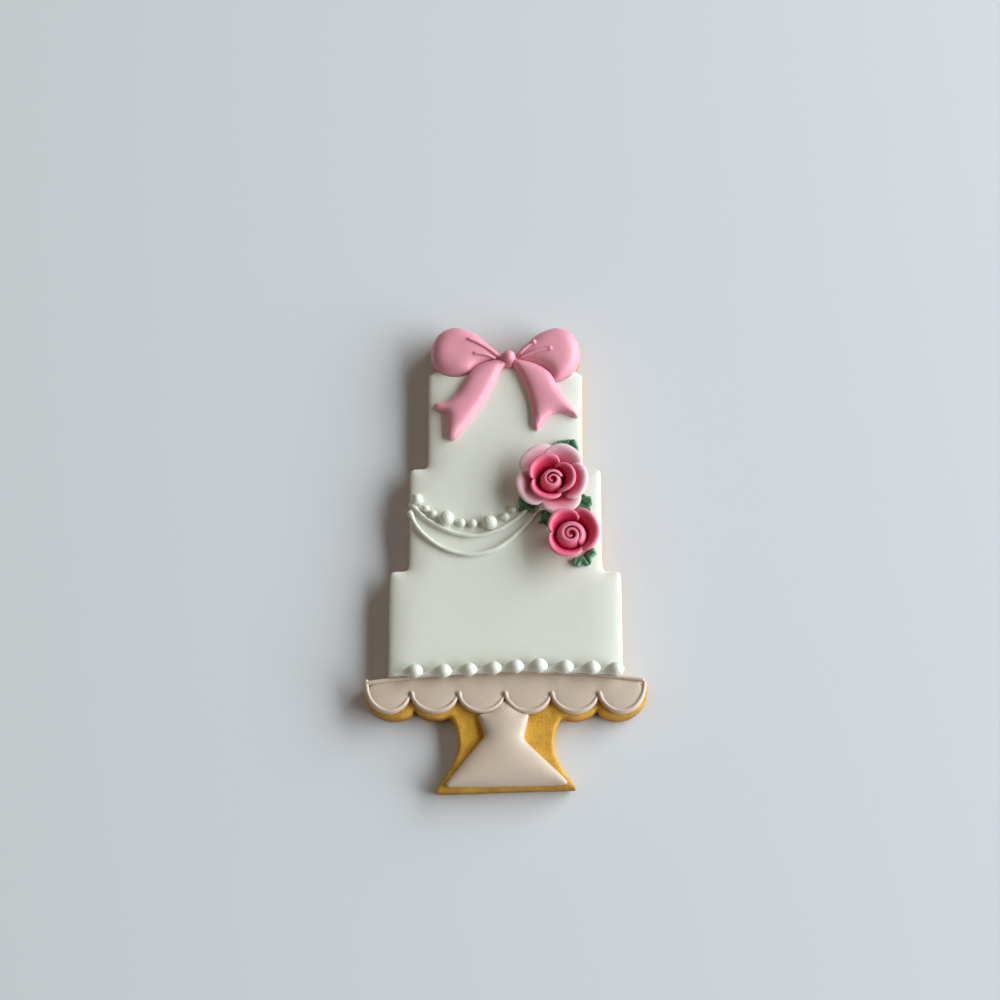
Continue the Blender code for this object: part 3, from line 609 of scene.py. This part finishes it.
def leaf_finish():
    """Green piped icing, glossier than the rest, with painted highlight on its ribs and edges and painted
    shade along its middle groove.
    """
    f = Finish("leaf icing")
    ripple = f.attribute("ripple")
    mottle = f.grain(1.6, 3.0)
    dark = f.mix(mottle.smooth(0.35, 0.65), (0.022, 0.10, 0.04), (0.05, 0.20, 0.09))
    # Painted light: the ripple attribute turns the green pale as a painted highlight, and keeps it dark
    # as painted shade in the groove.
    tone = f.mix((ripple + (mottle - 0.5) * 0.5).smooth(0.45, 1.0) * 0.85, dark, (0.26, 0.47, 0.29))
    relief = f.grain(0.9, 3.0) * 0.6 + f.grain(0.25, 2.0) * 0.2
    return f.done(
        Base_Color=tone,
        Roughness=0.34 + (mottle - 0.5) * 0.2,
        Normal=f.bump(relief, 0.6, 0.2),
        Specular_IOR_Level=0.5,
    )


def table_finish():
    f = Finish("table")
    return f.done(Base_Color=(0.735, 0.76, 0.795), Roughness=0.8, Specular_IOR_Level=0.2)


WHITE = icing_finish("white icing", (0.81, 0.82, 0.745), (0.79, 0.80, 0.72))
BEIGE = icing_finish("stand icing", (0.70, 0.57, 0.46), (0.66, 0.535, 0.43))
PINK = icing_finish("bow icing", (0.86, 0.39, 0.475), (0.82, 0.34, 0.43), 0.38, 0.1)
BISCUIT = biscuit_finish()
# The first colour of each is the petals' foot: partly their own deeper colour, partly painted shade where
# the petals close in.
BLUSH = petal_finish("blush petals", (0.66, 0.05, 0.16), (0.80, 0.34, 0.44), (0.90, 0.64, 0.69))
DEEP = petal_finish("deep petals", (0.46, 0.005, 0.04), (0.74, 0.05, 0.14), (0.86, 0.24, 0.35), 0.42)
HEART = petal_finish("rolled hearts", (0.42, 0.002, 0.025), (0.74, 0.05, 0.14), (0.86, 0.23, 0.34), 0.42)
GREEN = leaf_finish()


# ---------------------------------------------------------------- biscuit


def add_biscuit():
    """The baked biscuit: soft edges above and below, a slightly uneven top, and a rough side."""
    low, high = box_mm("biscuit")
    ring = smoothed(footprint("biscuit"), 0.45)
    thick, round_off = high[2] - low[2], 1.2
    flat, facets = sheet_of(ring, rounded_rows(round_off, 5), 0.9)
    away = distance(ring, flat)
    edge = round_off * (1 - np.sqrt(1 - np.clip(1 - away / round_off, 0, 1) ** 2))
    settled = 0.10 * (1 + wobble(np.column_stack([flat, 0 * away]), 9.0, 1))
    top = thick - edge - settled * np.clip(away / 2, 0, 1)
    points, faces = slab(flat, facets, len(ring), top, edge, wall_rows=8)
    rough = 0.05 * (wobble(points, 0.55, 2) - 1) + 0.07 * (wobble(points, 2.4, 3) - 1)
    rough[points[:, 2] < 0.02] = 0
    points = points + normals_of(points, faces) * rough[:, None]
    new_piece("biscuit_baked", points, faces, BISCUIT, ["biscuit"])


def normals_of(points, faces):
    """A normal at each point, averaged over the faces that meet there."""
    out = np.zeros_like(points)
    for size in {len(f) for f in faces}:
        some = np.array([f for f in faces if len(f) == size])
        corner = points[some]
        face_normal = np.cross(corner[:, 1] - corner[:, 0], corner[:, -1] - corner[:, 0])
        for k in range(size):
            np.add.at(out, some[:, k], face_normal)
    return out / np.maximum(np.linalg.norm(out, axis=1, keepdims=True), 1e-12)


# ---------------------------------------------------------------- flooded icing


def tier_icing():
    """The white icing: one pour over three tiers, level across and full to its rounded edge."""
    low, high = box_mm("icing_tiers")
    bitten = smoothed(footprint("icing_tiers"), 0.45)
    bitten[:, 0] += np.minimum(grown(bitten, 0.22)[:, 0] - bitten[:, 0], 0)  # it ran to the left edges
    loops = [smoothed(footprint(f"bow_loop_{side}"), 0.6) for side in ("left", "right")]
    by_bow = np.minimum(*[distance(loop, bitten) for loop in loops]) < 0.5
    height = high[2] - low[2]

    def shape(places, _):
        # The icing stays full where the bow's loops were poured against it.
        deep = depth(bitten, places, ~by_bow)
        near_bow = distance(bitten[by_bow], places) if by_bow.any() else np.full(len(places), 9.0)
        full = dome(deep, ICING_SHOULDER, height, 0.2)
        notch = dome(near_bow, 0.5, height, 0.5)
        swell = 0.03 * wobble(np.column_stack([places, 0 * deep]), 14.0, 4)
        return np.minimum(full, notch) + swell * np.clip(deep / 4, 0, 1)

    return Pad(bitten, low[2], ICING_SHOULDER, height, 0.2, shape)


def add_tier_icing(pad):
    points, faces = pad.body(9, 1.3)
    new_piece("tiers_poured", points, faces, WHITE, ["icing_tiers"])


def add_stand_icing():
    """The stand's plate, filled up to its piped outline, and its pedestal, which swells all the way
    across and runs up under the hem."""
    low, high = box_mm("icing_plate")
    ring = grown(smoothed(footprint("icing_plate"), 0.35), 0.45)
    pad = Pad(ring, low[2], PLATE_SHOULDER, high[2] - low[2] + 0.2, 0.6)
    points, faces = pad.body(8, 0.9)
    new_piece("plate_poured", points, faces, BEIGE, ["icing_plate"])
    low, high = box_mm("icing_pedestal")
    ring = smoothed(footprint("icing_pedestal"), 0.35)
    near_top = np.clip((ring[:, 1] - (high[1] - 3.5)) / 3.5, 0, 1) ** 1.5
    ring = ring + np.column_stack([1.3 * near_top * np.sign(ring[:, 0]), 1.3 * near_top])
    tall = PEDESTAL_FULLNESS * (high[2] - low[2])

    def swollen(places, lift):
        corner = np.exp(-(((places - (high[0] - 1.6, low[1] + 1.6)) / 1.7) ** 2).sum(1))
        tucked = 1 - 0.45 * np.clip((places[:, 1] - (high[1] - 3.0)) / 3.0, 0, 1)
        return (lift + 0.12 * corner) * tucked

    pad = Pad(ring, low[2], PEDESTAL_SHOULDER, tall, 0.18, swollen)
    points, faces = pad.body(11, 0.9)
    new_piece("pedestal_poured", points, faces, BEIGE, ["icing_pedestal"])


# ---------------------------------------------------------------- piping


def uneven(path, radius, amount, seed):
    """Radii along a strand, with the slight swelling of a hand on the bag."""
    return radius * (1 + amount * wobble(np.asarray(path), 3.0, seed))


def add_stand_lines():
    """The line along the plate's top and the six strokes of its hem."""
    low, high = box_mm("plate_line")
    across = np.linspace(low[0] + 0.4, high[0] - 0.3, 130)
    up = PLATE_LINE_CROWN - PLATE_LINE_FALL * ((across - PLATE_LINE_AT) / HEM_RIGHT) ** 2
    radii = 0.46 + 0.10 * np.clip(np.abs(across) / 34 - 0.5, 0, 1)
    x, y = on_cookie(across, up)
    path = np.column_stack([x, y, low[2] + 0.45 + radii])
    points, faces = tube(path, uneven(path, radii, 0.10, 5), section=STRAND)
    new_piece("plate_line_piped", points, faces, BEIGE, ["plate_line"])
    for number in range(1, 7):
        node = f"scallop_line_{number}"
        path, along = hem_stroke(number - 1, box_mm(node)[0][2])
        last = number == 6
        start, belly = np.exp(-((along / 0.05) ** 2)), np.sin(along * math.pi) ** 2
        taper = np.clip((along - 0.85) / 0.15, 0, 1) ** 2
        radii = uneven(path, LINE_RADIUS, 0.07, 10 + number) * (0.94 + 0.2 * start + 0.16 * belly)
        radii *= 1 - (0.1 if last else 0.3) * taper
        path[:, 2] += radii + 0.3 * start - (0 if last else 0.25) * taper
        points, faces = tube(path, radii, section=STRAND)
        new_piece(f"hem_stroke_{number}", points, faces, BEIGE, [node])


def hem_stroke(number, base):
    """The centre line of one stroke of the hem, and how far along it each place is. The four in the
    middle are arcs of circles, and the outer two swing up to the plate's tips."""
    ends = (HEM_LEFT, *CUSPS, HEM_RIGHT)
    left, right = ends[number] + 0.25, ends[number + 1] - 0.2
    if 0 < number < 5:
        half, deep = (right - left) / 2, CUSP_UP - HEM_LOW
        wide = high = (half**2 + deep**2) / (2 * deep)
        middle, top = (left + right) / 2, HEM_LOW + high
        turn = math.asin(half / wide)
        first, last = -turn, turn
    else:
        high, top = HEM_END_UP - HEM_LOW, HEM_END_UP
        turn = math.acos((HEM_END_UP - CUSP_UP) / high)
        if number == 0:
            left -= 0.25
            wide = (right - left) / (1 + math.sin(turn))
            middle, first, last = left + wide, -math.pi / 2, turn
        else:
            right += 0.2
            wide = (right - left) / (1 + math.sin(turn))
            middle, first, last = right - wide, -turn, math.pi / 2
    swing = np.linspace(first, last, 70)
    x, y = on_cookie(middle + wide * np.sin(swing), top - high * np.cos(swing))
    return np.column_stack([x, y, np.full_like(x, base)]), np.linspace(0, 1, 70)


def add_swags(pad):
    """Two swags piped over the middle tier, each with a heavier start at the cake's left edge."""
    for name, route in (("swag_upper", UPPER_SWAG), ("swag_lower", LOWER_SWAG)):
        plan = curve_through([on_cookie(*p) for p in route], 0.4, closed=False)
        along = np.linspace(0, 1, len(plan))
        radii = uneven(np.column_stack([plan, 0 * along]), SWAG_RADIUS, 0.12, len(name))
        radii *= 1 + 0.35 * np.exp(-((along / 0.04) ** 2)) - 0.18 * along**4
        path = np.column_stack([plan, pad.top(plan) + radii * 0.45])
        points, faces = tube(path, radii)
        new_piece(f"{name}_piped", points, faces, WHITE, [name])


def add_pearls():
    """Round dots that have settled, with the small flat button where the nozzle left them."""
    for number in range(1, 10):
        node = f"pearl_{number}"
        low, high = box_mm(node)
        spread, settled, button = (1.0, 1.0, 0.0) if number == 1 else (PEARL_SPREAD, PEARL_SETTLED, 1.0)
        radius = (high[0] - low[0]) / 2 * spread
        centre = ((low[0] + high[0]) / 2, (low[1] + high[1]) / 2, low[2] - PEARL_SUNK)
        tall = (high[2] - low[2] + PEARL_SUNK) * settled
        profile = [(0.0, 0.0)]
        for angle in np.radians(np.linspace(-30, 87, 30)):
            across = math.cos(angle)
            up = (math.sin(angle) + 0.5) / 1.5
            dent = 0.035 * math.exp(-(((across - 0.27) / 0.07) ** 2))
            profile.append((radius * across, tall * (up - button * dent)))
        profile.append((0.0, tall))
        points, faces = turned(profile, 32, centre, 0.05, number)
        new_piece(f"pearl_piped_{number}", points, faces, WHITE, [node])


def add_beads():
    """The border of drops at the cake's foot: round heads, each drawn out to the left into a tail that
    runs under the head before it."""
    for number in range(1, 10):
        node = f"bead_{number}"
        low, high = box_mm(node)
        radius = (high[2] - low[2]) / 1.55
        head = np.array([high[0] - radius - 0.5, (low[1] + high[1]) / 2 - 0.05, low[2] - 0.35])
        reach = min(BEAD_REACH * radius, head[0] - HEM_LEFT - FIRST_TAIL_ROOM)
        tail = head[0] - reach * np.linspace(1, 0, 26)[:-1]
        x = np.concatenate([tail, head[0] + radius * np.sin(np.radians(np.linspace(0, 88, 16)))])
        left = np.clip((head[0] - x) / reach, 0, 1)
        right = np.clip((x - head[0]) / radius, 0, 1)
        wide = radius * (0.25 + 0.42 * (1 - left) + 0.36 * np.exp(-((left / 0.33) ** 2)))
        wide *= np.sqrt(1 - right**2)
        droop = 0.16 * reach * left**1.3
        path = np.column_stack([x, head[1] - droop, head[2] + 0.55 * wide + 0.42 * radius])
        points, faces = tube(path, wide, sides=28, squash=0.95)
        new_piece(f"bead_piped_{number}", points, faces, WHITE, [node])


# ---------------------------------------------------------------- bow


def near_line(places, line, width):
    """1 on a line, falling softly to 0 beside it."""
    line = np.asarray(line, float)
    start, side = line[:-1], np.diff(line, axis=0)
    to_point = places[:, None, :] - start[None]
    share = np.clip((to_point * side).sum(2) / (side**2).sum(1), 0, 1)
    away = np.sqrt(((to_point - share[..., None] * side) ** 2).sum(2).min(1))
    return np.exp(-((away / width) ** 2))


def add_bow_loop(side):
    """A puffed loop. Gives its pad, which the creases lie on."""
    node = f"bow_loop_{side}"
    low, high = box_mm(node)
    ring = smoothed(grown(footprint(node), 0.1), 0.35)
    deepest = depth(ring, sheet_of(ring, [0.5], 1.0)[0]).max()

    def puffed(places, lift):
        return lift * (1 + 0.03 * wobble(np.column_stack([places, 0 * lift]), 5.0, len(side)))

    pad = Pad(ring, low[2], deepest * 0.98, (high[2] - low[2]) * LOOP_FULLNESS, 0.12, puffed)
    points, faces = pad.body(16, 0.9)
    new_piece(f"{node}_poured", points, faces, PINK, [node])
    return pad


def add_bow_tail(side):
    """A tail with a soft fold along it."""
    node = f"bow_tail_{side}"
    low, high = box_mm(node)
    ring = smoothed(grown(footprint(node), 0.1), 0.3)
    fold = [on_cookie(*p) for p in TAIL_FOLDS[side]]

    def folded(places, lift):
        crease = near_line(places, fold, 0.45)
        ridge = near_line(places, np.asarray(fold) + (0.6, 0.15), 0.5)
        return lift * (1 - 0.06 * crease) + 0.05 * ridge * np.clip(lift, 0, 1)

    pad = Pad(ring, low[2] - 0.2, TAIL_SHOULDER, high[2] - low[2] + 0.75, 0.15, folded)
    points, faces = pad.body(12, 0.7)
    new_piece(f"{node}_poured", points, faces, PINK, [node])


def add_bow_knot():
    """The knot: a ball on a low skirt of icing that fills the place where loops and tails meet."""
    low, high = box_mm("bow_knot")
    centre = (low + high) / 2
    radius = (high[0] - low[0]) / 2
    arc = np.radians(np.linspace(-90, 90, 20))
    ball = [(radius * math.cos(a), radius * 0.98 * math.sin(a)) for a in arc]
    skirt = ((0.0, -1.1), (1.45, -1.05), (1.5, -0.72), (1.15, -0.42))
    profile = [(radius * x, radius * z) for x, z in skirt]
    profile += [place for place in ball if place[1] > -0.35 * radius]
    points, faces = turned(profile, 28, (centre[0], centre[1] - 0.15, low[2] + radius * 0.8), 0.08, 3)
    new_piece("bow_knot_piped", points, faces, PINK, ["bow_knot"])


def add_bow_crease(number, pads):
    """A crease piped out from the knot over a loop, with a bead at its end."""
    node = f"bow_crease_{number}"
    low, high = box_mm(node)
    left = number <= 2
    bead = CREASE_ENDS[number - 1]
    start = np.array([high[0] if left else low[0], low[1] + 0.4])
    end = np.array([low[0] if left else high[0], high[1] - 0.4])
    start += (-0.35, 0.0) if left else (0.35, 0.0)
    end += (bead, 0.0) if left else (-bead, 0.0)
    share = np.linspace(0, 1, 40)
    bow_out = 0.25 * np.sin(share * math.pi)
    plan = start + (end - start) * share[:, None] + np.column_stack([0 * share, bow_out])
    radii = CREASE_RADIUS + 0.05 * np.sin(share * 3)
    swelling = (bead - CREASE_RADIUS) * np.sin((share - 0.9) / 0.1 * math.pi / 2)
    radii = np.where(share > 0.9, radii + swelling, radii)
    pad = pads["left" if left else "right"]
    path = np.column_stack([plan, pad.top(plan) + radii * (0.18 if left else 0.32)])
    points, faces = tube(path, radii)
    new_piece(f"{node}_piped", points, faces, PINK, [node])


def add_bow():
    pads = {}
    for side in ("left", "right"):
        pads[side] = add_bow_loop(side)
        add_bow_tail(side)
    add_bow_knot()
    for number in range(1, 5):
        add_bow_crease(number, pads)


# ---------------------------------------------------------------- roses and leaves


def shell(surface, thick, rim=0.14, ends=0.06, columns=48, rows=24):
    """A petal of sugar paste from a middle surface, with its thickness rounded off at its rim and ends.
    surface(s, t) gives points, with s from -1 to 1 along the petal and t from 0 at its foot to 1 at its
    rim."""
    s = np.sin(np.linspace(-math.pi / 2, math.pi / 2, columns)) * 0.6 + np.linspace(-1, 1, columns) * 0.4
    t = np.sin(np.linspace(0, math.pi / 2, rows))
    grid_s, grid_t = np.meshgrid(s, t, indexing="ij")
    middle = surface(grid_s, grid_t)
    step = 1e-3
    inner_s, inner_t = np.clip(grid_s, step - 1, 1 - step), np.clip(grid_t, step, 1 - step)
    along_s = surface(inner_s + step, inner_t) - surface(inner_s - step, inner_t)
    along_t = surface(inner_s, inner_t + step) - surface(inner_s, inner_t - step)
    facing = np.cross(along_s, along_t)
    facing /= np.maximum(np.linalg.norm(facing, axis=2, keepdims=True), 1e-9)
    at_rim = np.clip((grid_t - (1 - rim)) / rim, 0, 1)
    at_end = np.clip((np.abs(grid_s) - (1 - ends)) / ends, 0, 1)
    half = thick / 2 * np.sqrt(np.maximum(1 - at_rim**2, 0)) * np.sqrt(np.maximum(1 - at_end**2, 0))
    front, back = middle + facing * half[..., None], middle - facing * half[..., None]
    index = np.arange(columns * rows).reshape(columns, rows)
    faces = []
    for i in range(columns - 1):
        for j in range(rows - 1):
            a, b, c, d = index[i, j], index[i + 1, j], index[i + 1, j + 1], index[i, j + 1]
            faces.append((a, b, c, d))
            faces.append(tuple(k + columns * rows for k in (d, c, b, a)))
    for i in range(columns - 1):  # the open foot
        a, b = index[i, 0], index[i + 1, 0]
        faces.append((b, a, a + columns * rows, b + columns * rows))
    points = np.vstack([front.reshape(-1, 3), back.reshape(-1, 3)])
    return points, faces, np.tile(grid_t.reshape(-1), 2)


def add_petal(name, node, centre, surface, thick, finish, slot, **fineness):
    points, faces, rise = shell(surface, thick, **fineness)
    points = points + centre
    points[:, 2] = np.clip(points[:, 2], centre[2] - 0.3, HIGH[2] - 0.05)
    new_piece(name, points, faces, finish, [node], values={"rise": rise})


class Petal:
    """A cupped petal round a rose's axis. Angles are in degrees. Seen from above its rim is an arc of a
    circle of radius `rim` whose centre lies `out` from the axis. `first` and `last` move its two ends in
    or out past its neighbours, `fall` is how far the ends droop, and `curl` rolls the rim outwards."""

    def __init__(self, middle, half, out, rim, tall, first, last, foot, flare=1.2, curl=0.3, fall=0.2):
        self.middle, self.half, self.out, self.rim, self.tall = middle, half, out, rim, tall
        self.first, self.last, self.foot = first, last, foot
        self.flare, self.curl, self.fall = flare, curl, fall

    def surface(self, s, t):
        away = np.abs(s)
        t = t * (1 - np.minimum(away, 1) ** 7) ** 0.3  # round corners
        turn = np.radians(self.half) * s
        sideways = np.minimum(np.abs(self.out * np.sin(turn)), 0.98 * self.rim)
        edge = self.out * np.cos(turn) + np.sqrt(self.rim**2 - sideways**2)
        shift = np.where(s < 0, self.first, self.last) * away**2.2
        ripple = 0.10 * np.sin(3.3 * s + self.middle) + 0.05 * np.sin(8.1 * s + 2 * self.middle)
        across = self.foot + (edge + shift * t - self.foot) * t**self.flare + ripple * t**3
        across = across + self.curl * np.clip((t - 0.78) / 0.22, 0, None) ** 2
        level = self.tall * (1 - self.fall * away**2.6) * np.sin(t * math.pi / 2) ** 0.9
        level = level - 0.45 * self.curl * np.clip((t - 0.82) / 0.18, 0, None) ** 2
        level = level + 0.12 * np.sin(2.6 * s + self.middle) * t**2
        facing = np.radians(self.middle) + turn * (0.82 + 0.18 * t)
        return np.stack([across * np.cos(facing), across * np.sin(facing), level], axis=-1)


def rolled(belly, mouth, core, tall, turns, start):
    """A rose's heart: a petal rolled up into a ball that closes in to a mouth, with its spiral inside."""

    def surface(s, t):
        share = np.clip((s + 1) / 2, 0, 1)  # 0 at the outer end
        facing = math.radians(start) + 2 * math.pi * turns * share
        wide = belly + (core - belly) * share**2.0
        narrow = mouth + (core - mouth) * share
        upper = np.clip((t - 0.45) / 0.55, 0, 1)
        lower = np.clip((0.45 - t) / 0.45, 0, 1)
        ball = np.sqrt(1 - upper**2) * (1 - 0.22 * lower**2)
        across = narrow + (wide - narrow) * ball
        level = tall * t * (1 - 0.07 * share**2) - 0.35 * np.clip(1 - share / 0.10, 0, 1) ** 2 * t
        return np.stack([across * np.cos(facing), across * np.sin(facing), level], axis=-1)

    return surface


LARGE_OUTER = (
    Petal(66, 47, 3.9, 5.9, 4.5, 0.5, -0.9, 4.6),
    Petal(124, 46, 3.7, 6.2, 4.3, 0.2, 0.5, 4.6),
    Petal(-158, 50, 3.6, 6.0, 4.4, -0.5, 0.3, 4.6),
    Petal(-70, 52, 4.5, 5.5, 3.9, -0.7, 0.5, 4.6),
    Petal(-7, 52, 2.2, 6.7, 4.5, -0.5, -0.6, 4.6),
)
LARGE_INNER = (
    Petal(122, 69, 1.0, 5.1, 6.1, 0.1, 0.1, 3.2, 1.1, 0.25, 0.12),
    Petal(-117, 67, 1.0, 5.0, 5.5, -1.0, 0.5, 3.2, 1.1, 0.25, 0.16),
    Petal(2, 74, 1.2, 5.0, 6.1, -0.7, -1.9, 3.2, 1.1, 0.25, 0.16),
)
SMALL_WRAP = (
    Petal(11, 78, 0.85, 6.4, 5.7, 0.1, 0.1, 3.7, 1.15, 0.2, 0.12),
    Petal(120, 66, 1.0, 5.3, 5.6, -1.4, 0.0, 3.7, 1.15, 0.2, 0.12),
    Petal(-118, 72, 1.3, 5.6, 5.3, -1.0, -0.3, 3.7, 1.15, 0.2, 0.14),
)


def rose_axis(heart):
    low, high = box_mm(heart)
    return np.array([(low[0] + high[0]) / 2, (low[1] + high[1]) / 2, low[2]]), high[2] - low[2]


def add_core(name, node, centre, radius, tall):
    """The paste inside a rolled heart, which closes the foot of its spiral."""
    arc = np.radians(np.linspace(0, 88, 14))
    dome_over = [(radius * math.cos(a), tall * (0.55 + 0.45 * math.sin(a))) for a in arc]
    points, faces = turned([(0.0, 0.0), (radius * 0.8, 0.0), *dome_over, (0.0, tall)], 28, centre)
    rise = np.full(len(points), 0.35)
    new_piece(name, points, faces, HEART, [node], values={"rise": rise})


def add_bud(rose, centre, surface, thick, core, core_tall):
    """A rolled heart and the paste inside it."""
    node = f"rose_{rose}_heart"
    name = f"rose_{rose}_bud"
    add_petal(name, node, centre, surface, thick, HEART, "rose_deep", rim=0.12, columns=150)
    add_core(f"rose_{rose}_core", node, centre, core, core_tall)


def add_large_rose():
    axis, tall = rose_axis("rose_large_heart")
    for number, petal in enumerate(LARGE_OUTER, 1):
        node = f"rose_large_outer_petal_{number}"
        centre = axis + LARGE_OUTER_AT
        add_petal(f"{node}_modelled", node, centre, petal.surface, OUTER_PETAL_THICK, BLUSH, "rose_blush")
    for number, petal in enumerate(LARGE_INNER, 1):
        node = f"rose_large_inner_petal_{number}"
        centre = axis + LARGE_INNER_AT
        add_petal(f"{node}_modelled", node, centre, petal.surface, INNER_PETAL_THICK, DEEP, "rose_deep")
    surface = rolled(3.05, 2.0, 0.3, tall - 0.5, 1.7, 20)
    add_bud("large", axis + LARGE_BUD_AT, surface, 0.68, 2.4, tall - 1.35)


def add_small_rose():
    axis, tall = rose_axis("rose_small_heart")
    for number, petal in enumerate(SMALL_WRAP, 1):
        node = f"rose_small_petal_{number}"
        centre = axis + SMALL_WRAP_AT
        add_petal(f"{node}_modelled", node, centre, petal.surface, INNER_PETAL_THICK, DEEP, "rose_deep")
    surface = rolled(3.75, 2.45, 0.3, tall - 0.3, 2.0, -50)
    add_bud("small", axis + SMALL_BUD_AT, surface, 0.75, 3.0, tall - 1.2)


def add_leaves():
    """Piped leaves: ruffled edges, ribs out from a groove along the middle, and a drawn-up tip."""
    for number in range(1, 6):
        node = f"leaf_{number}"
        low, high = box_mm(node)
        ring = smoothed(footprint(node), 0.22)
        centre = ring.mean(0)
        rose = ROSE_OF_LEAF[number - 1]
        away = centre - rose
        away /= np.linalg.norm(away)
        aside = np.array([-away[1], away[0]])
        flat, facets = sheet_of(ring, rounded_rows(0.9, 5), 0.32)
        deep = depth(ring, flat)
        along = (flat - rose) @ away
        across = (flat - centre) @ aside
        half = np.abs((ring - centre) @ aside).max()
        vein = np.exp(-((across / 0.28) ** 2))
        ribs = 0.5 + 0.5 * np.sin(2 * math.pi * (along / 1.5 - 0.55 * np.abs(across)) + number)
        outward = np.clip(np.abs(across) / half, 0, 1)
        tall = high[2] - low[2]
        lift = dome(deep, 0.9, tall, 0.25)
        lift *= 0.82 + 0.35 * outward**2 + 0.16 * ribs * outward - 0.34 * vein
        lift += 0.45 * np.clip((along - along.mean()) / 3, 0, 1) ** 2 * np.clip(deep, 0, 1)
        points, faces = slab(flat, facets, len(ring), low[2] + lift, np.full(len(flat), low[2] - 0.2))
        # Painted light for the leaf's colour: higher on ribs, sides and edges as painted highlight, lower
        # along the middle groove as painted shade.
        by_edge = 1 - np.clip(deep / 0.8, 0, 1)
        painted_highlight_and_shade = outward * 0.55 + ribs * 0.35 * outward + by_edge * 0.4 - vein * 0.3
        values = np.zeros(len(points))
        values[: len(flat)] = np.clip(painted_highlight_and_shade, 0, 1)
        new_piece(f"{node}_piped", points, faces, GREEN, [node], values={"ripple": values})


LARGE_AT, SMALL_AT = (rose_axis(f"rose_{size}_heart")[0][:2] for size in ("large", "small"))
ROSE_OF_LEAF = (LARGE_AT, LARGE_AT, LARGE_AT, LARGE_AT, SMALL_AT)


# ---------------------------------------------------------------- stage


FLOOR_SIZE = 30.0  # metres


def add_stage():
    bpy.ops.mesh.primitive_plane_add(size=FLOOR_SIZE, location=(0, 0, 0))
    floor = bpy.context.object
    floor.name = "table_top"
    floor.data.materials.append(table_finish())


def add_light(name, azimuth, elevation, far, size, power, colour):
    """A soft rectangular light that faces the cookie. Angles are in degrees and lengths in metres."""
    lamp = bpy.data.lights.new(name, "AREA")
    lamp.shape = "RECTANGLE"
    lamp.size, lamp.size_y = size
    lamp.energy, lamp.color = power, colour
    obj = bpy.data.objects.new(name, lamp)
    bpy.context.scene.collection.objects.link(obj)
    turn, rise = math.radians(azimuth), math.radians(elevation)
    level = far * math.cos(rise)
    obj.location = (level * math.cos(turn), level * math.sin(turn), far * math.sin(rise))
    obj.rotation_euler = (-obj.location).to_track_quat("-Z", "Y").to_euler()


def add_lights():
    """A wide window low on the right, and a dim warm room on the left."""
    add_light("window", 8, 25, 2.0, (3.4, 1.2), 102, (0.90, 0.97, 1.0))
    add_light("room", 175, 50, 1.2, (1.4, 1.0), 2.8, (1.0, 0.84, 0.70))
    world = bpy.data.worlds.new("studio")
    world.use_nodes = True
    background = world.node_tree.nodes["Background"]
    background.inputs["Color"].default_value = (1.0, 0.86, 0.72, 1.0)
    background.inputs["Strength"].default_value = 0.035
    bpy.context.scene.world = world


CAMERA_ELEVATION = 68.0
CAMERA_DISTANCE = 0.5764
AIM = Vector((-0.0015, 0.0159, 0.0))


def add_camera():
    data = bpy.data.cameras.new("camera")
    data.lens, data.sensor_width = 79.56, 36.0
    camera = bpy.data.objects.new("camera", data)
    bpy.context.scene.collection.objects.link(camera)
    up = math.radians(CAMERA_ELEVATION)
    camera.location = AIM + CAMERA_DISTANCE * Vector((0, -math.cos(up), math.sin(up)))
    camera.rotation_euler = (math.pi / 2 - up, 0, 0)
    bpy.context.scene.camera = camera
    bpy.context.scene.view_settings.view_transform = "Standard"


def main():
    add_biscuit()
    tiers = tier_icing()
    add_tier_icing(tiers)
    add_stand_icing()
    add_stand_lines()
    add_swags(tiers)
    add_pearls()
    add_beads()
    add_bow()
    add_large_rose()
    add_small_rose()
    add_leaves()
    add_stage()
    add_lights()
    add_camera()


main()
